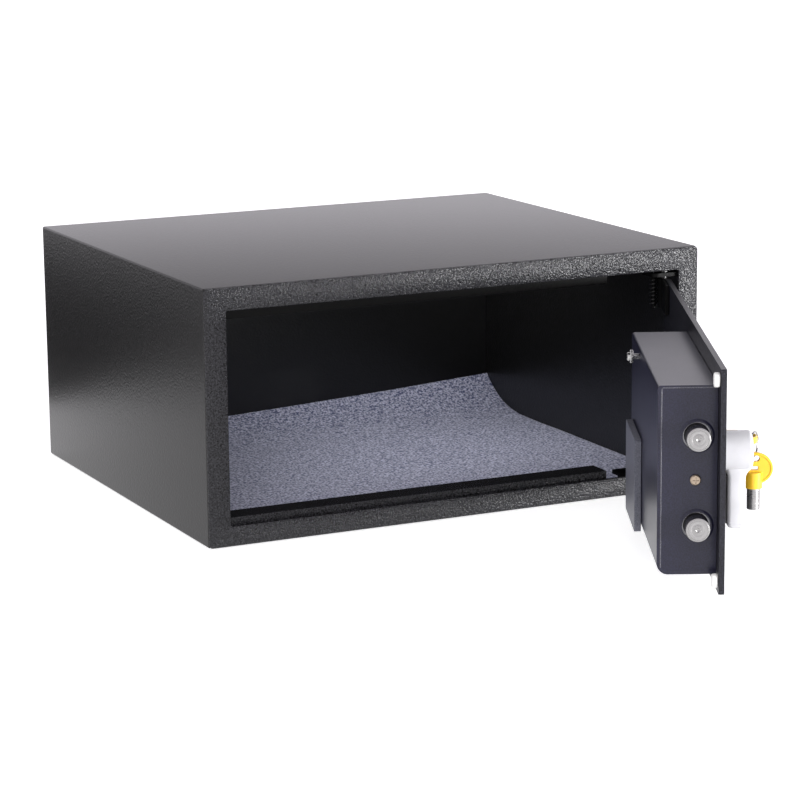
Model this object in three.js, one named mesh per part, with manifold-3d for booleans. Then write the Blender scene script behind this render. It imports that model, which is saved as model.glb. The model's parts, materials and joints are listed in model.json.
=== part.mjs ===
// In-room safe: steel cabinet, hinged door with lock case, two round bolts, lever and override key.
// Millimetres, +Z up, front towards -Y. The origin is the centre of the cabinet's underside.
import * as THREE from 'three';
import { mergeVertices } from 'three/addons/utils/BufferGeometryUtils.js';
import Module from 'manifold-3d';

const wasm = await Module();
wasm.setup();

// ---- Driving dimensions -------------------------------------------------------------------
const CABINET = { width: 430, depth: 370, height: 200, sheet: 1.5 };
const FLANGE = { side: 18, top: 18, bottom: 16 };
const DOOR = { gap: 1.8, thickness: 4, bottom: 17.4, top: 175.6, openAngle: 64.74 };
const PIVOT = { x: 187.2, y: -178, pinRadius: 2.5, boreRadius: 2.75 };
const CASE = { near: 369.5, far: 170, back: -40.6, front: 0.7, bottom: 29, top: 162.5, sheet: 1.5 };
const BOLT = {
  radius: 8.6, tip: 381.9, root: 344.8, axisY: -13.5, middleZ: 95.2, rise: 31.75, holeRadius: 9.9,
};
const GUIDE_SCREW = { y: -14.3, z: 96.2 };
const AXIS_Z = 97;
const HANDLE = { x: 285, radius: 14.65, back: 14, front: 35.3, leverEnd: 41.5 };
const CRANK = { radius: 12.02, pinRadius: 2.5 };
const LOCK = { x: 246, headRadius: 12, barrelRadius: 9.2, coreRadius: 7, face: 16.8 };
const PANEL = { x0: 112, x1: 308, z0: 52, z1: 142, back: 5.3, front: 13.5 };
const KEYPAD = { x: 165, z: 87, pitchX: 16, pitchZ: 14, capWidth: 12, capHeight: 9.4, capGap: 0.4 };
const COVER = { x0: 183, x1: 256, z0: 30, z1: 99, thickness: 5 };
const BATTERY = { radius: 7.1, length: 49, pitch: 15.2, count: 4 };
const RING = { radius: 9.3, wire: 0.7, reach: 6.8, drop: 6, turn: THREE.MathUtils.degToRad(155) };
const KEY = {
  stemRadius: 4.8, stemBore: 3.4, stemLength: 15.8, collarRadius: 6.5, collarLength: 12,
  bowHalf: 14, bowHeight: 12, bowLength: 26.6, bowThickness: 4,
  slotHalf: 4.2, slotDepth: 4.6, slotRim: 2.2, tipY: 44.6,
};
const SPRING = { x: PIVOT.x - 4.4, y: PIVOT.y + 8.2, postRadius: 1.8, postLow: 150 };
const TOUCH_GAP = 0.3;

// The door's inner and outer faces in its own frame: x runs from the hinge axis to the free
// edge, y points out of the cabinet, z is up.
const INNER_FACE = 1;
const OUTER_FACE = INNER_FACE + DOOR.thickness;
const HEEL = -8;
const openingRight = CABINET.width / 2 - FLANGE.side;
const FREE_EDGE = PIVOT.x + openingRight - DOOR.gap;

const frontY = -CABINET.depth / 2;
const halfWidth = CABINET.width / 2;
const sheet = CABINET.sheet;

// ---- Materials ----------------------------------------------------------------------------
function finish(color, roughness, metalness) {
  return new THREE.MeshStandardMaterial({ color, roughness, metalness });
}

const blackPaint = finish(0x1b1b1d, 0.5, 0.0);
const casePaint = finish(0x25252b, 0.42, 0.0);
const brightSteel = finish(0xb9b8b6, 0.3, 1.0);
const zincSteel = finish(0x9a9a96, 0.4, 1.0);
const brassyZinc = finish(0xb89b62, 0.4, 1.0);
const silverPaint = finish(0xb9bbc0, 0.35, 0.6);
const blackPlastic = finish(0x141416, 0.45, 0.0);
const greyPlastic = finish(0x6c6f74, 0.5, 0.0);
const yellowPlastic = finish(0xe8b51a, 0.4, 0.0);
const whiteRubber = finish(0xe6e6e2, 0.6, 0.0);
const feltGrey = finish(0x565d70, 0.95, 0.0);
const boardGreen = finish(0x1f5a38, 0.5, 0.0);
const batteryWrap = finish(0x2d5f8a, 0.35, 0.2);
const smokedWindow = finish(0x1a0f10, 0.12, 0.0);

// ---- Shape helpers ------------------------------------------------------------------------
function block(x0, x1, y0, y1, z0, z1) {
  const geometry = new THREE.BoxGeometry(x1 - x0, y1 - y0, z1 - z0);
  return geometry.translate((x0 + x1) / 2, (y0 + y1) / 2, (z0 + z1) / 2);
}

// A round bar between two coordinates of the named axis; p and q are its centre on the others.
function bar(axis, radius, from, to, p, q, segments = 32) {
  const geometry = new THREE.CylinderGeometry(radius, radius, to - from, segments);
  const middle = (from + to) / 2;
  if (axis === 'x') return geometry.rotateZ(-Math.PI / 2).translate(middle, p, q);
  if (axis === 'z') return geometry.rotateX(Math.PI / 2).translate(p, q, middle);
  return geometry.translate(p, middle, q);
}

// A turned body: the profile lists [radius, distance along the axis], starting and ending on it.
function turned(axis, profile, p, q, segments = 32) {
  const points = profile.map(([radius, along]) => new THREE.Vector2(radius, along));
  const geometry = new THREE.LatheGeometry(points, segments);
  if (axis === 'x') return geometry.rotateZ(-Math.PI / 2).translate(0, p, q);
  if (axis === 'z') return geometry.rotateX(Math.PI / 2).translate(p, q, 0);
  return geometry.translate(p, 0, q);
}

function roundedRectangle(x0, x1, z0, z1, radii) {
  const [bottomLeft, bottomRight, topRight, topLeft] = radii;
  const shape = new THREE.Shape();
  shape.moveTo(x0 + bottomLeft, z0);
  shape.lineTo(x1 - bottomRight, z0);
  shape.absarc(x1 - bottomRight, z0 + bottomRight, bottomRight, -Math.PI / 2, 0, false);
  shape.lineTo(x1, z1 - topRight);
  shape.absarc(x1 - topRight, z1 - topRight, topRight, 0, Math.PI / 2, false);
  shape.lineTo(x0 + topLeft, z1);
  shape.absarc(x0 + topLeft, z1 - topLeft, topLeft, Math.PI / 2, Math.PI, false);
  shape.lineTo(x0, z0 + bottomLeft);
  shape.absarc(x0 + bottomLeft, z0 + bottomLeft, bottomLeft, Math.PI, 1.5 * Math.PI, false);
  return shape;
}

// A flat piece lying in the XZ plane, from y0 to y1.
function plateXZ(shape, y0, y1, curveSegments = 6) {
  const geometry = new THREE.ExtrudeGeometry(shape, { depth: y1 - y0, bevelEnabled: false, curveSegments });
  return geometry.rotateX(Math.PI / 2).translate(0, y1, 0);
}

// A flat piece lying in the XY plane, from z0 to z1.
function plateXY(shape, z0, z1, curveSegments = 5) {
  const geometry = new THREE.ExtrudeGeometry(shape, { depth: z1 - z0, bevelEnabled: false, curveSegments });
  return geometry.translate(0, 0, z0);
}

// A section drawn in (y, z) and carried along X from x0 to x1.
function sectionAlongX(shape, x0, x1, curveSegments = 6) {
  const geometry = new THREE.ExtrudeGeometry(shape, { depth: x1 - x0, bevelEnabled: false, curveSegments });
  const turn = new THREE.Matrix4().makeBasis(
    new THREE.Vector3(0, 1, 0), new THREE.Vector3(0, 0, 1), new THREE.Vector3(1, 0, 0));
  return geometry.applyMatrix4(turn).translate(x0, 0, 0);
}

function polygon(points) {
  return new THREE.Shape(points.map(([a, b]) => new THREE.Vector2(a, b)));
}

function toSolid(geometry) {
  const bare = geometry.clone();
  bare.deleteAttribute('normal');
  bare.deleteAttribute('uv');
  const merged = mergeVertices(bare, 1e-4);
  const triangles = new Uint32Array(merged.index.array);
  const vertices = new Float32Array(merged.attributes.position.array);
  return new wasm.Manifold(new wasm.Mesh({ numProp: 3, vertProperties: vertices, triVerts: triangles }));
}

function toGeometry(solid) {
  const result = solid.getMesh();
  const geometry = new THREE.BufferGeometry();
  geometry.setAttribute('position', new THREE.BufferAttribute(new Float32Array(result.vertProperties), 3));
  geometry.setIndex(new THREE.BufferAttribute(new Uint32Array(result.triVerts), 1));
  return geometry;
}

// Joins the pieces in `joined`, then takes away the pieces in `cut`.
function shaped(joined, cut = []) {
  let solid = toSolid(joined[0]);
  for (const extra of joined.slice(1)) solid = solid.add(toSolid(extra));
  for (const tool of cut) solid = solid.subtract(toSolid(tool));
  return toGeometry(solid);
}

function place(parent, name, geometry, material) {
  const mesh = new THREE.Mesh(geometry, material);
  mesh.name = name;
  parent.add(mesh);
  return mesh;
}

// ---- Cabinet ------------------------------------------------------------------------------
const safe = new THREE.Group();

function buildShell() {
  const inner = halfWidth - sheet;
  const behindFrame = frontY + sheet;
  const back = CABINET.depth / 2;
  const underRoof = CABINET.height - sheet;
  const roof = block(-halfWidth, halfWidth, behindFrame, back, underRoof, CABINET.height);
  const floor = block(-halfWidth, halfWidth, behindFrame, back, 0, sheet);
  place(safe, 'roof_panel', roof, blackPaint);
  place(safe, 'floor_panel', floor, blackPaint);
  place(safe, 'left_panel', block(-halfWidth, -inner, behindFrame, back, sheet, underRoof), blackPaint);
  place(safe, 'right_panel', block(inner, halfWidth, behindFrame, back, sheet, underRoof), blackPaint);
  place(safe, 'back_panel', block(-inner, inner, back - sheet, back, sheet, underRoof), blackPaint);
}

function buildFrontFrame() {
  const outline = roundedRectangle(-halfWidth, halfWidth, 0, CABINET.height, [0.5, 0.5, 0.5, 0.5]);
  const opening = roundedRectangle(-openingRight, openingRight, FLANGE.bottom,
    CABINET.height - FLANGE.top, [1, 1, 1, 1]);
  outline.holes.push(new THREE.Path(opening.getPoints(2).reverse()));
  place(safe, 'front_frame', plateXZ(outline, frontY, frontY + sheet, 2), blackPaint);
}

// The ledges that the closed door rests against run behind the opening, short of the hinge.
function buildDoorStops() {
  const riser = frontY + 7;
  const x0 = -halfWidth + sheet + TOUCH_GAP;
  const x1 = 135;
  const lowerTop = 21;
  const lowerBack = riser + 22;
  const foot = sheet + TOUCH_GAP;
  const lower = polygon([
    [riser, foot], [riser + sheet, foot], [riser + sheet, lowerTop - sheet],
    [lowerBack - sheet, lowerTop - sheet], [lowerBack - sheet, foot], [lowerBack, foot],
    [lowerBack, lowerTop], [riser, lowerTop]]);
  place(safe, 'door_stop_lower', sectionAlongX(lower, x0, x1), blackPaint);
  const upperBottom = 174.6;
  const upperBack = riser + 18;
  const ceiling = CABINET.height - sheet - TOUCH_GAP;
  const upper = polygon([
    [riser, upperBottom], [upperBack, upperBottom], [upperBack, upperBottom + sheet],
    [riser + sheet, upperBottom + sheet], [riser + sheet, ceiling], [riser, ceiling]]);
  place(safe, 'door_stop_upper', sectionAlongX(upper, x0, x1), blackPaint);
}

// A hinge bracket is a thick tongue with a leg that is welded to the floor or the roof.
function hingeBracket(tongueLow, legFar, tongueFrom, extra = []) {
  const tongue = { x0: tongueFrom, x1: 212, y0: frontY + 4, y1: frontY + 24, thickness: 3 };
  const outline = roundedRectangle(tongue.x0, tongue.x1, tongue.y0, tongue.y1, [5, 1, 1, 2]);
  const flat = plateXY(outline, tongueLow, tongueLow + tongue.thickness);
  const legLow = Math.min(legFar, tongueLow + 1);
  const legHigh = Math.max(legFar, tongueLow + 1);
  const leg = block(tongue.x0 + 6, tongue.x1, tongue.y1 - 3, tongue.y1, legLow, legHigh);
  const hole = bar('z', PIVOT.pinRadius + 0.3, tongueLow - 2, tongueLow + 6, PIVOT.x, PIVOT.y, 24);
  return shaped([flat, leg, ...extra], [hole]);
}

function hingePin(low, high, headLow) {
  const shank = bar('z', PIVOT.pinRadius, low, high, PIVOT.x, PIVOT.y, 24);
  const head = bar('z', PIVOT.pinRadius + 0.9, headLow, headLow + 2.4, PIVOT.x, PIVOT.y, 24);
  return shaped([shank, head]);
}

function buildHingeFixed() {
  const ceiling = CABINET.height - sheet - TOUCH_GAP;
  const post = bar('z', SPRING.postRadius, SPRING.postLow, 177.5, SPRING.x, SPRING.y, 16);
  place(safe, 'hinge_bracket_lower', hingeBracket(13.8, sheet + TOUCH_GAP, 149), blackPaint);
  place(safe, 'hinge_bracket_upper', hingeBracket(176.6, ceiling, 176, [post]), blackPaint);
  place(safe, 'hinge_pin_lower', hingePin(12, 41, 11), brightSteel);
  place(safe, 'hinge_pin_upper', hingePin(155, 181, 179.9), brightSteel);
}

// The coil that pushes the unlocked door open sits on the upper bracket's post.
function buildDoorSpring() {
  const coil = { radius: 3.2, wire: 0.6, turns: 5, low: 152, high: 174, stepsPerTurn: 12 };
  const steps = coil.turns * coil.stepsPerTurn;
  const points = Array.from({ length: steps + 1 }, (_, i) => {
    const angle = (i / coil.stepsPerTurn) * 2 * Math.PI;
    const z = coil.low + ((coil.high - coil.low) * i) / steps;
    const x = SPRING.x + coil.radius * Math.cos(angle);
    const y = SPRING.y + coil.radius * Math.sin(angle);
    return new THREE.Vector3(x, y, z);
  });
  const section = polygon(Array.from({ length: 6 }, (_, i) => [
    coil.wire * Math.cos((i * Math.PI) / 3), coil.wire * Math.sin((i * Math.PI) / 3)]));
  const path = new THREE.CatmullRomCurve3(points);
  const geometry = new THREE.ExtrudeGeometry(section, { steps, extrudePath: path, bevelEnabled: false });
  place(safe, 'door_spring', geometry, zincSteel);
}

// The felt mat lies on the floor. Its back edge stands up against the back wall, low at the
// left and higher at the right.
function buildMat() {
  const felt = 2.4;
  const low = sheet + TOUCH_GAP;
  const front = frontY + 29.6;
  const wall = CABINET.depth / 2 - sheet - TOUCH_GAP;
  const bend = 22;
  const lip = 8;
  const section = new THREE.Shape();
  section.moveTo(front, low);
  section.lineTo(wall - bend, low);
  section.absarc(wall - bend, low + bend, bend, -Math.PI / 2, 0, false);
  section.lineTo(wall, low + bend + lip);
  section.lineTo(wall - felt, low + bend + lip);
  section.absarc(wall - bend, low + bend, bend - felt, 0, -Math.PI / 2, true);
  section.lineTo(front, low + felt);
  const inner = halfWidth - sheet - TOUCH_GAP;
  const mat = sectionAlongX(section, -inner, inner, 5);
  const position = mat.attributes.position;
  for (let i = 0; i < position.count; i += 1) {
    const above = position.getZ(i) - low - felt;
    const reach = 0.3 + 0.7 * ((position.getX(i) + inner) / (2 * inner));
    if (above > 0) position.setZ(i, low + felt + above * reach);
  }
  place(safe, 'floor_mat', mat, feltGrey);
}

// ---- Door ---------------------------------------------------------------------------------
const door = new THREE.Group();
door.position.set(PIVOT.x, PIVOT.y, 0);
door.rotation.z = Math.PI + THREE.MathUtils.degToRad(DOOR.openAngle);
safe.add(door);

const KNUCKLE = { lowerTop: 43, upperBottom: 151, notch: 10, clearance: 2.5 };

function buildDoorPlate() {
  const plate = plateXZ(roundedRectangle(HEEL, FREE_EDGE, DOOR.bottom, DOOR.top, [1, 1, 1, 1]),
    INNER_FACE, OUTER_FACE, 2);
  const lowerEnd = KNUCKLE.lowerTop + KNUCKLE.clearance;
  const upperEnd = KNUCKLE.upperBottom - KNUCKLE.clearance;
  const lowerNotch = block(HEEL - 1, KNUCKLE.notch, 0, 6, DOOR.bottom - 1, lowerEnd);
  const upperNotch = block(HEEL - 1, KNUCKLE.notch, 0, 6, upperEnd, DOOR.top + 1);
  const spindleHole = bar('y', 6, 0, 6, HANDLE.x, AXIS_Z);
  const lockHole = bar('y', LOCK.barrelRadius + 0.4, 0, 6, LOCK.x, AXIS_Z);
  const wireHole = bar('y', 5, 0, 6, 205, 125, 16);
  const cuts = [lowerNotch, upperNotch, spindleHole, lockHole, wireHole];
  place(door, 'door_plate', shaped([plate], cuts), blackPaint);
}

// A knuckle is a barrel on the hinge axis with a leaf welded to the door's inner face.
function buildKnuckle(name, low, high) {
  const leaf = block(2, 38, -2.3, INNER_FACE - TOUCH_GAP, low, high);
  const barrel = bar('z', 4.5, low, high, 0, 0, 24);
  const bore = bar('z', PIVOT.boreRadius, low - 1, high + 1, 0, 0, 24);
  place(door, name, shaped([barrel, leaf], [bore]), blackPaint);
}

function buildLockCase() {
  const wall = CASE.sheet;
  const outside = roundedRectangle(CASE.back, CASE.front, CASE.bottom, CASE.top, [8, 0.3, 0.3, 2]);
  const inside = roundedRectangle(CASE.back + wall, CASE.front + 1,
    CASE.bottom + wall, CASE.top - wall, [8 - wall, 0.3, 0.3, 0.5]);
  const outer = sectionAlongX(outside, CASE.far, CASE.near);
  const hollow = sectionAlongX(inside, CASE.far + wall, CASE.near - wall);
  const joined = [outer];
  const cut = [hollow];
  for (const side of [-1, 1]) {
    const z = BOLT.middleZ + side * BOLT.rise;
    const rim = [[0, CASE.near - 0.5], [12.2, CASE.near - 0.5], [12.2, CASE.near], [10.8, CASE.near + 1],
      [0, CASE.near + 1]];
    joined.push(turned('x', rim, BOLT.axisY, z));
    cut.push(bar('x', BOLT.holeRadius, CASE.near - 4, CASE.near + 4, BOLT.axisY, z));
  }
  cut.push(bar('x', 2.3, CASE.near - 4, CASE.near + 4, GUIDE_SCREW.y, GUIDE_SCREW.z, 16));
  cut.push(bar('y', 2.6, CASE.back - 2, CASE.back + 4, 234, 156.5, 16));
  cut.push(block(188, 251, CASE.back - 2, CASE.back + 4, 36.5, 96));
  place(door, 'lock_case', shaped(joined, cut), casePaint);
}

function buildGuideScrew() {
  const { y, z } = GUIDE_SCREW;
  const head = { radius: 3.8, from: CASE.near + 0.3, to: CASE.near + 2.1 };
  const shank = bar('x', 1.8, CASE.near - 7.5, head.from + 0.3, y, z, 16);
  const dome = turned('x', [[0, head.from], [head.radius, head.from], [head.radius, head.to - 0.8],
    [head.radius - 0.8, head.to], [0, head.to]], y, z, 24);
  const slots = [[2.2, 0.45], [0.45, 2.2]].map(([halfY, halfZ]) =>
    block(head.to - 0.9, head.to + 1, y - halfY, y + halfY, z - halfZ, z + halfZ));
  place(door, 'guide_screw', shaped([shank, dome], slots), brassyZinc);
}

function buildThumbScrew() {
  const screw = new THREE.Group();
  screw.position.set(234, CASE.back, 156.5);
  door.add(screw);
  const profile = [[0, -9.6], [2.6, -9.6], [3.2, -9.2], [3.2, -7.4], [4.9, -7.1], [4.9, -5.2], [3.4, -4.7],
    [2, -4.5], [2, 5], [0, 5]];
  place(screw, 'thumb_screw', turned('y', profile, 0, 0, 24), brightSteel);
}

function buildBumpers() {
  const pads = { x0: 376.2, x1: 381.6, height: 10.5, thickness: 4.5 };
  for (const [name, low] of [['bumper_lower', 21.4], ['bumper_upper', 162.7]]) {
    const radius = (pads.x1 - pads.x0) / 2 - 0.01;
    const radii = [radius, radius, radius, radius];
    const outline = roundedRectangle(pads.x0, pads.x1, low, low + pads.height, radii);
    const top = INNER_FACE - TOUCH_GAP;
    place(door, name, plateXZ(outline, top - pads.thickness, top), whiteRubber);
  }
}

// ---- Front panel with display and keys ----------------------------------------------------
const keyCentres = [];
for (let row = 0; row < 4; row += 1) {
  for (let column = 0; column < 3; column += 1) {
    keyCentres.push([KEYPAD.x + (1 - column) * KEYPAD.pitchX, KEYPAD.z + (1.5 - row) * KEYPAD.pitchZ]);
  }
}
const KEY_NAMES = ['1', '2', '3', '4', '5', '6', '7', '8', '9', 'clear', '0', 'lock'];

function buildFrontPanel() {
  const plate = plateXZ(roundedRectangle(PANEL.x0, PANEL.x1, PANEL.z0, PANEL.z1, [8, 8, 8, 8]),
    PANEL.back, PANEL.front);
  const wide = KEYPAD.capWidth / 2 + KEYPAD.capGap;
  const high = KEYPAD.capHeight / 2 + KEYPAD.capGap;
  const pockets = keyCentres.map(([x, z]) =>
    block(x - wide, x + wide, PANEL.front - 4.5, PANEL.front + 1, z - high, z + high));
  const windowRecess = block(134, 196, PANEL.front - 1.8, PANEL.front + 1, 119.5, 134.5);
  const spindleHole = bar('y', 6, PANEL.back - 1, PANEL.front + 1, HANDLE.x, AXIS_Z);
  const lockHole = bar('y', LOCK.barrelRadius + 0.4, PANEL.back - 1, PANEL.front + 1, LOCK.x, AXIS_Z);
  const cuts = [...pockets, windowRecess, spindleHole, lockHole];
  place(door, 'front_panel', shaped([plate], cuts), blackPlastic);
  const glass = plateXZ(roundedRectangle(134.4, 195.6, 119.9, 134.1, [1, 1, 1, 1]),
    PANEL.front - 1.5, PANEL.front + 0.2, 2);
  place(door, 'display_window', glass, smokedWindow);
}

function buildKeys() {
  keyCentres.forEach(([x, z], i) => {
    const outline = roundedRectangle(-KEYPAD.capWidth / 2, KEYPAD.capWidth / 2,
      -KEYPAD.capHeight / 2, KEYPAD.capHeight / 2, [1.5, 1.5, 1.5, 1.5]);
    const cap = plateXZ(outline, -3.3, 1.2, 3);
    place(door, `key_${KEY_NAMES[i]}`, cap, greyPlastic).position.set(x, PANEL.front, z);
  });
}

// ---- Inside the lock case -----------------------------------------------------------------
function buildElectronics() {
  place(door, 'circuit_board', block(180, 282, -5.6, -4, 112, 158), boardGreen);
  const tray = block(186.5, 252.5, -38.7, -21, 36, 99.6);
  const trayHollow = block(187.7, 251.3, -40, -22.2, 37.2, 98.4);
  place(door, 'battery_box', shaped([tray], [trayHollow]), blackPlastic);
  for (let i = 0; i < BATTERY.count; i += 1) {
    const z = 44.7 + i * BATTERY.pitch;
    const low = 219.5 - BATTERY.length / 2;
    const high = low + BATTERY.length;
    const cell = turned('x', [[0, low], [BATTERY.radius, low], [BATTERY.radius, high], [2.6, high],
      [2.6, high + 1.3], [0, high + 1.3]], -30.4, z, 20);
    place(door, `battery_${i + 1}`, cell, batteryWrap);
  }
  const lid = plateXZ(roundedRectangle(COVER.x0, COVER.x1, COVER.z0, COVER.z1, [2, 2, 2, 2]),
    CASE.back - TOUCH_GAP - COVER.thickness, CASE.back - TOUCH_GAP, 3);
  const plug = block(189, 250, CASE.back - 1, CASE.back + 1.5, 37.5, 95);
  place(door, 'battery_cover', shaped([lid, plug]), casePaint);
}

function buildSolenoid() {
  const x = 309;
  const y = -11.5;
  const body = block(x - 12, x + 12, -23, 0.4, 108, 136);
  place(door, 'solenoid_body', shaped([body], [bar('z', 4.3, 107, 132, x, y, 20)]), zincSteel);
  place(door, 'solenoid_plunger', bar('z', 4, 96, 126, x, y, 20), brightSteel);
}

function buildBoltWork() {
  const upright = block(340, 344.5, -24, -5.5, 52, 142);
  const link = block(266, 341, -13, -10.2, 78, 95);
  const slotX = HANDLE.x - CRANK.radius * Math.SQRT1_2;
  const slot = block(slotX - 3.2, slotX + 3.2, -14, -9, 81.5, 92);
  place(door, 'bolt_carriage', shaped([upright, link], [slot]), zincSteel);
  for (const [name, side] of [['bolt_lower', -1], ['bolt_upper', 1]]) {
    const edge = 1;
    const profile = [[0, BOLT.root], [BOLT.radius, BOLT.root], [BOLT.radius, BOLT.tip - edge],
      [BOLT.radius - edge, BOLT.tip], [0, BOLT.tip]];
    place(door, name, turned('x', profile, BOLT.axisY, BOLT.middleZ + side * BOLT.rise, 40), brightSteel);
  }
  const guide = block(363, CASE.near - CASE.sheet - TOUCH_GAP, -30, -1, 48, 146);
  const bores = [-1, 1].map((side) =>
    bar('x', BOLT.radius + 0.3, 360, 372, BOLT.axisY, BOLT.middleZ + side * BOLT.rise, 40));
  const screwHole = bar('x', 2.1, 360, 372, GUIDE_SCREW.y, GUIDE_SCREW.z, 16);
  place(door, 'bolt_guide', shaped([guide], [...bores, screwHole]), zincSteel);
}

// ---- Handle -------------------------------------------------------------------------------
function buildHandle() {
  const { x, radius, back, front, leverEnd } = HANDLE;
  const hub = turned('y', [[0, back], [radius, back], [radius, front - 3], [radius - 0.9, front - 0.9],
    [radius - 3, front], [0, front]], x, AXIS_Z, 40);
  const leverShape = roundedRectangle(x - 8.5, x + 8.5, leverEnd, AXIS_Z, [4, 4, 1, 1]);
  const lever = plateXZ(leverShape, 19.6, 30.4);
  const bore = bar('y', 5.2, back - 1, 25.6, x, AXIS_Z, 24);
  place(door, 'door_handle', shaped([hub, lever], [bore]), silverPaint);
  const insertShape = roundedRectangle(x - 7.5, x + 7.5, leverEnd + 0.6, 81.5, [3.4, 3.4, 1, 1]);
  place(door, 'lever_insert', plateXZ(insertShape, 17.3, 19.3), blackPlastic);
  place(door, 'handle_spindle', bar('y', 4.9, -6.2, 25.2, x, AXIS_Z, 24), zincSteel);
  const offset = CRANK.radius * Math.SQRT1_2;
  const cheek = bar('y', 9, -9.2, -6.5, x, AXIS_Z, 24);
  const arm = new THREE.BoxGeometry(10, 2.7, CRANK.radius);
  arm.translate(0, 0, -CRANK.radius / 2).rotateY(Math.PI / 4).translate(x, -7.85, AXIS_Z);
  const end = bar('y', 5, -9.2, -6.5, x - offset, AXIS_Z - offset, 24);
  const pin = bar('y', CRANK.pinRadius, -14, -7, x - offset, AXIS_Z - offset, 20);
  place(door, 'handle_crank', shaped([cheek, arm, end, pin]), zincSteel);
}

// ---- Override lock and keys ---------------------------------------------------------------
function buildLock() {
  const { x, headRadius, barrelRadius, coreRadius, face } = LOCK;
  const shell = turned('y', [[0, -16], [barrelRadius, -16], [barrelRadius, 13.8], [headRadius, 13.8],
    [headRadius, face - 1], [headRadius - 1, face], [0, face]], x, AXIS_Z);
  const bore = bar('y', coreRadius + 0.25, -17, face + 1, x, AXIS_Z);
  place(door, 'lock_cylinder', shaped([shell], [bore]), brightSteel);
  const core = bar('y', coreRadius, -19.8, face - 0.2, x, AXIS_Z);
  const cam = block(x - 20, x + 5, -19.8, -17.2, AXIS_Z - 5, AXIS_Z + 5);
  const keyway = bar('y', KEY.stemRadius + 0.35, 1.5, face + 1, x, AXIS_Z);
  const nubWay = block(x, x + KEY.stemRadius + 1.2, 1.5, face + 1, AXIS_Z - 1.3, AXIS_Z + 1.3);
  place(door, 'lock_core', shaped([core, cam], [keyway, nubWay]), brightSteel);
}

// A tubular key lies along +Y with the open end of its stem at y = 0. The moulded bow is an
// oval flat in the XY plane on a round collar, with a ring slot near its tip.
function keyStem() {
  const nub = block(KEY.stemRadius - 0.6, KEY.stemRadius + 0.8, 1.2, 3, -0.9, 0.9);
  const tube = bar('y', KEY.stemRadius, 0, KEY.stemLength, 0, 0, 24);
  return shaped([tube, nub], [bar('y', KEY.stemBore, -1, KEY.stemLength - 3, 0, 0, 20)]);
}

function keyBow() {
  const { bowHalf, bowHeight, bowLength, bowThickness, collarRadius, collarLength, slotDepth } = KEY;
  const collar = bar('y', collarRadius, 0, collarLength, 0, 0, 24);
  const oval = new THREE.Shape();
  oval.absellipse(0, bowLength - bowHeight, bowHalf, bowHeight, 0, 2 * Math.PI, false);
  const flat = plateXY(oval, -bowThickness / 2, bowThickness / 2, 16);
  const half = slotDepth / 2;
  const slotY = bowLength - KEY.slotRim - half;
  const ringSlot = roundedRectangle(-KEY.slotHalf, KEY.slotHalf, slotY - half, slotY + half,
    [half - 0.1, half - 0.1, half - 0.1, half - 0.1]);
  const mouldSlot = block(-3.2, 3.2, slotY - 8.6, slotY - 5.8, -bowThickness, bowThickness);
  return shaped([collar, flat], [plateXY(ringSlot, -bowThickness, bowThickness, 4), mouldSlot]);
}

function buildInsertedKey() {
  const key = new THREE.Group();
  key.position.set(LOCK.x, KEY.tipY - KEY.bowLength - TOUCH_GAP - KEY.stemLength, AXIS_Z);
  door.add(key);
  place(key, 'key_stem', keyStem(), brightSteel);
  place(key, 'key_bow', keyBow(), yellowPlastic).position.y = KEY.stemLength + TOUCH_GAP;
}

// The ring stands upright in the bow's slot, turned about the slot's axis. The spare key hangs
// from the ring's lowest point with its oval bow square to the door.
function buildRingAndSpareKey() {
  const slotY = KEY.tipY - KEY.slotRim - KEY.slotDepth / 2;
  const centreX = LOCK.x + RING.reach * Math.cos(RING.turn);
  const centreY = slotY + RING.reach * Math.sin(RING.turn);
  const centreZ = AXIS_Z - RING.drop;
  const circle = new THREE.TorusGeometry(RING.radius, RING.wire, 8, 40).rotateX(Math.PI / 2);
  const ring = place(door, 'key_ring', circle, zincSteel);
  ring.position.set(centreX, centreY, centreZ);
  ring.rotation.z = RING.turn;
  const spare = new THREE.Group();
  const hangBelow = 1 - KEY.slotRim - KEY.slotDepth / 2 + KEY.bowLength;
  spare.position.set(centreX, centreY, centreZ - RING.radius - hangBelow);
  spare.rotation.set(Math.PI / 2, 0, Math.PI / 2, 'ZXY');
  door.add(spare);
  place(spare, 'spare_key_bow', keyBow(), yellowPlastic);
  place(spare, 'spare_key_stem', keyStem(), brightSteel).position.y = -KEY.stemLength - TOUCH_GAP;
}

buildShell();
buildFrontFrame();
buildDoorStops();
buildHingeFixed();
buildDoorSpring();
buildMat();
buildDoorPlate();
buildKnuckle('hinge_knuckle_lower', 17.8, KNUCKLE.lowerTop);
buildKnuckle('hinge_knuckle_upper', KNUCKLE.upperBottom, 175);
buildLockCase();
buildGuideScrew();
buildThumbScrew();
buildBumpers();
buildFrontPanel();
buildKeys();
buildElectronics();
buildSolenoid();
buildBoltWork();
buildHandle();
buildLock();
buildInsertedKey();
buildRingAndSpareKey();

export default safe;
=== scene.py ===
"""Looks for an in-room safe: textured steel cabinet, hinged door, lock case, keys and felt floor.

Sizes are in millimetres in the classes and become metres when a mesh is made. Pieces on the door
are worked out in the door's own frame (u from the hinge to the free edge, y outward, z up) and
then turned into the open rest position.
"""

import json
import logging
import math
from collections.abc import Iterable
from dataclasses import dataclass, field
from enum import Enum

import bmesh
import bpy
import numpy as np
from mathutils import Matrix

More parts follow.
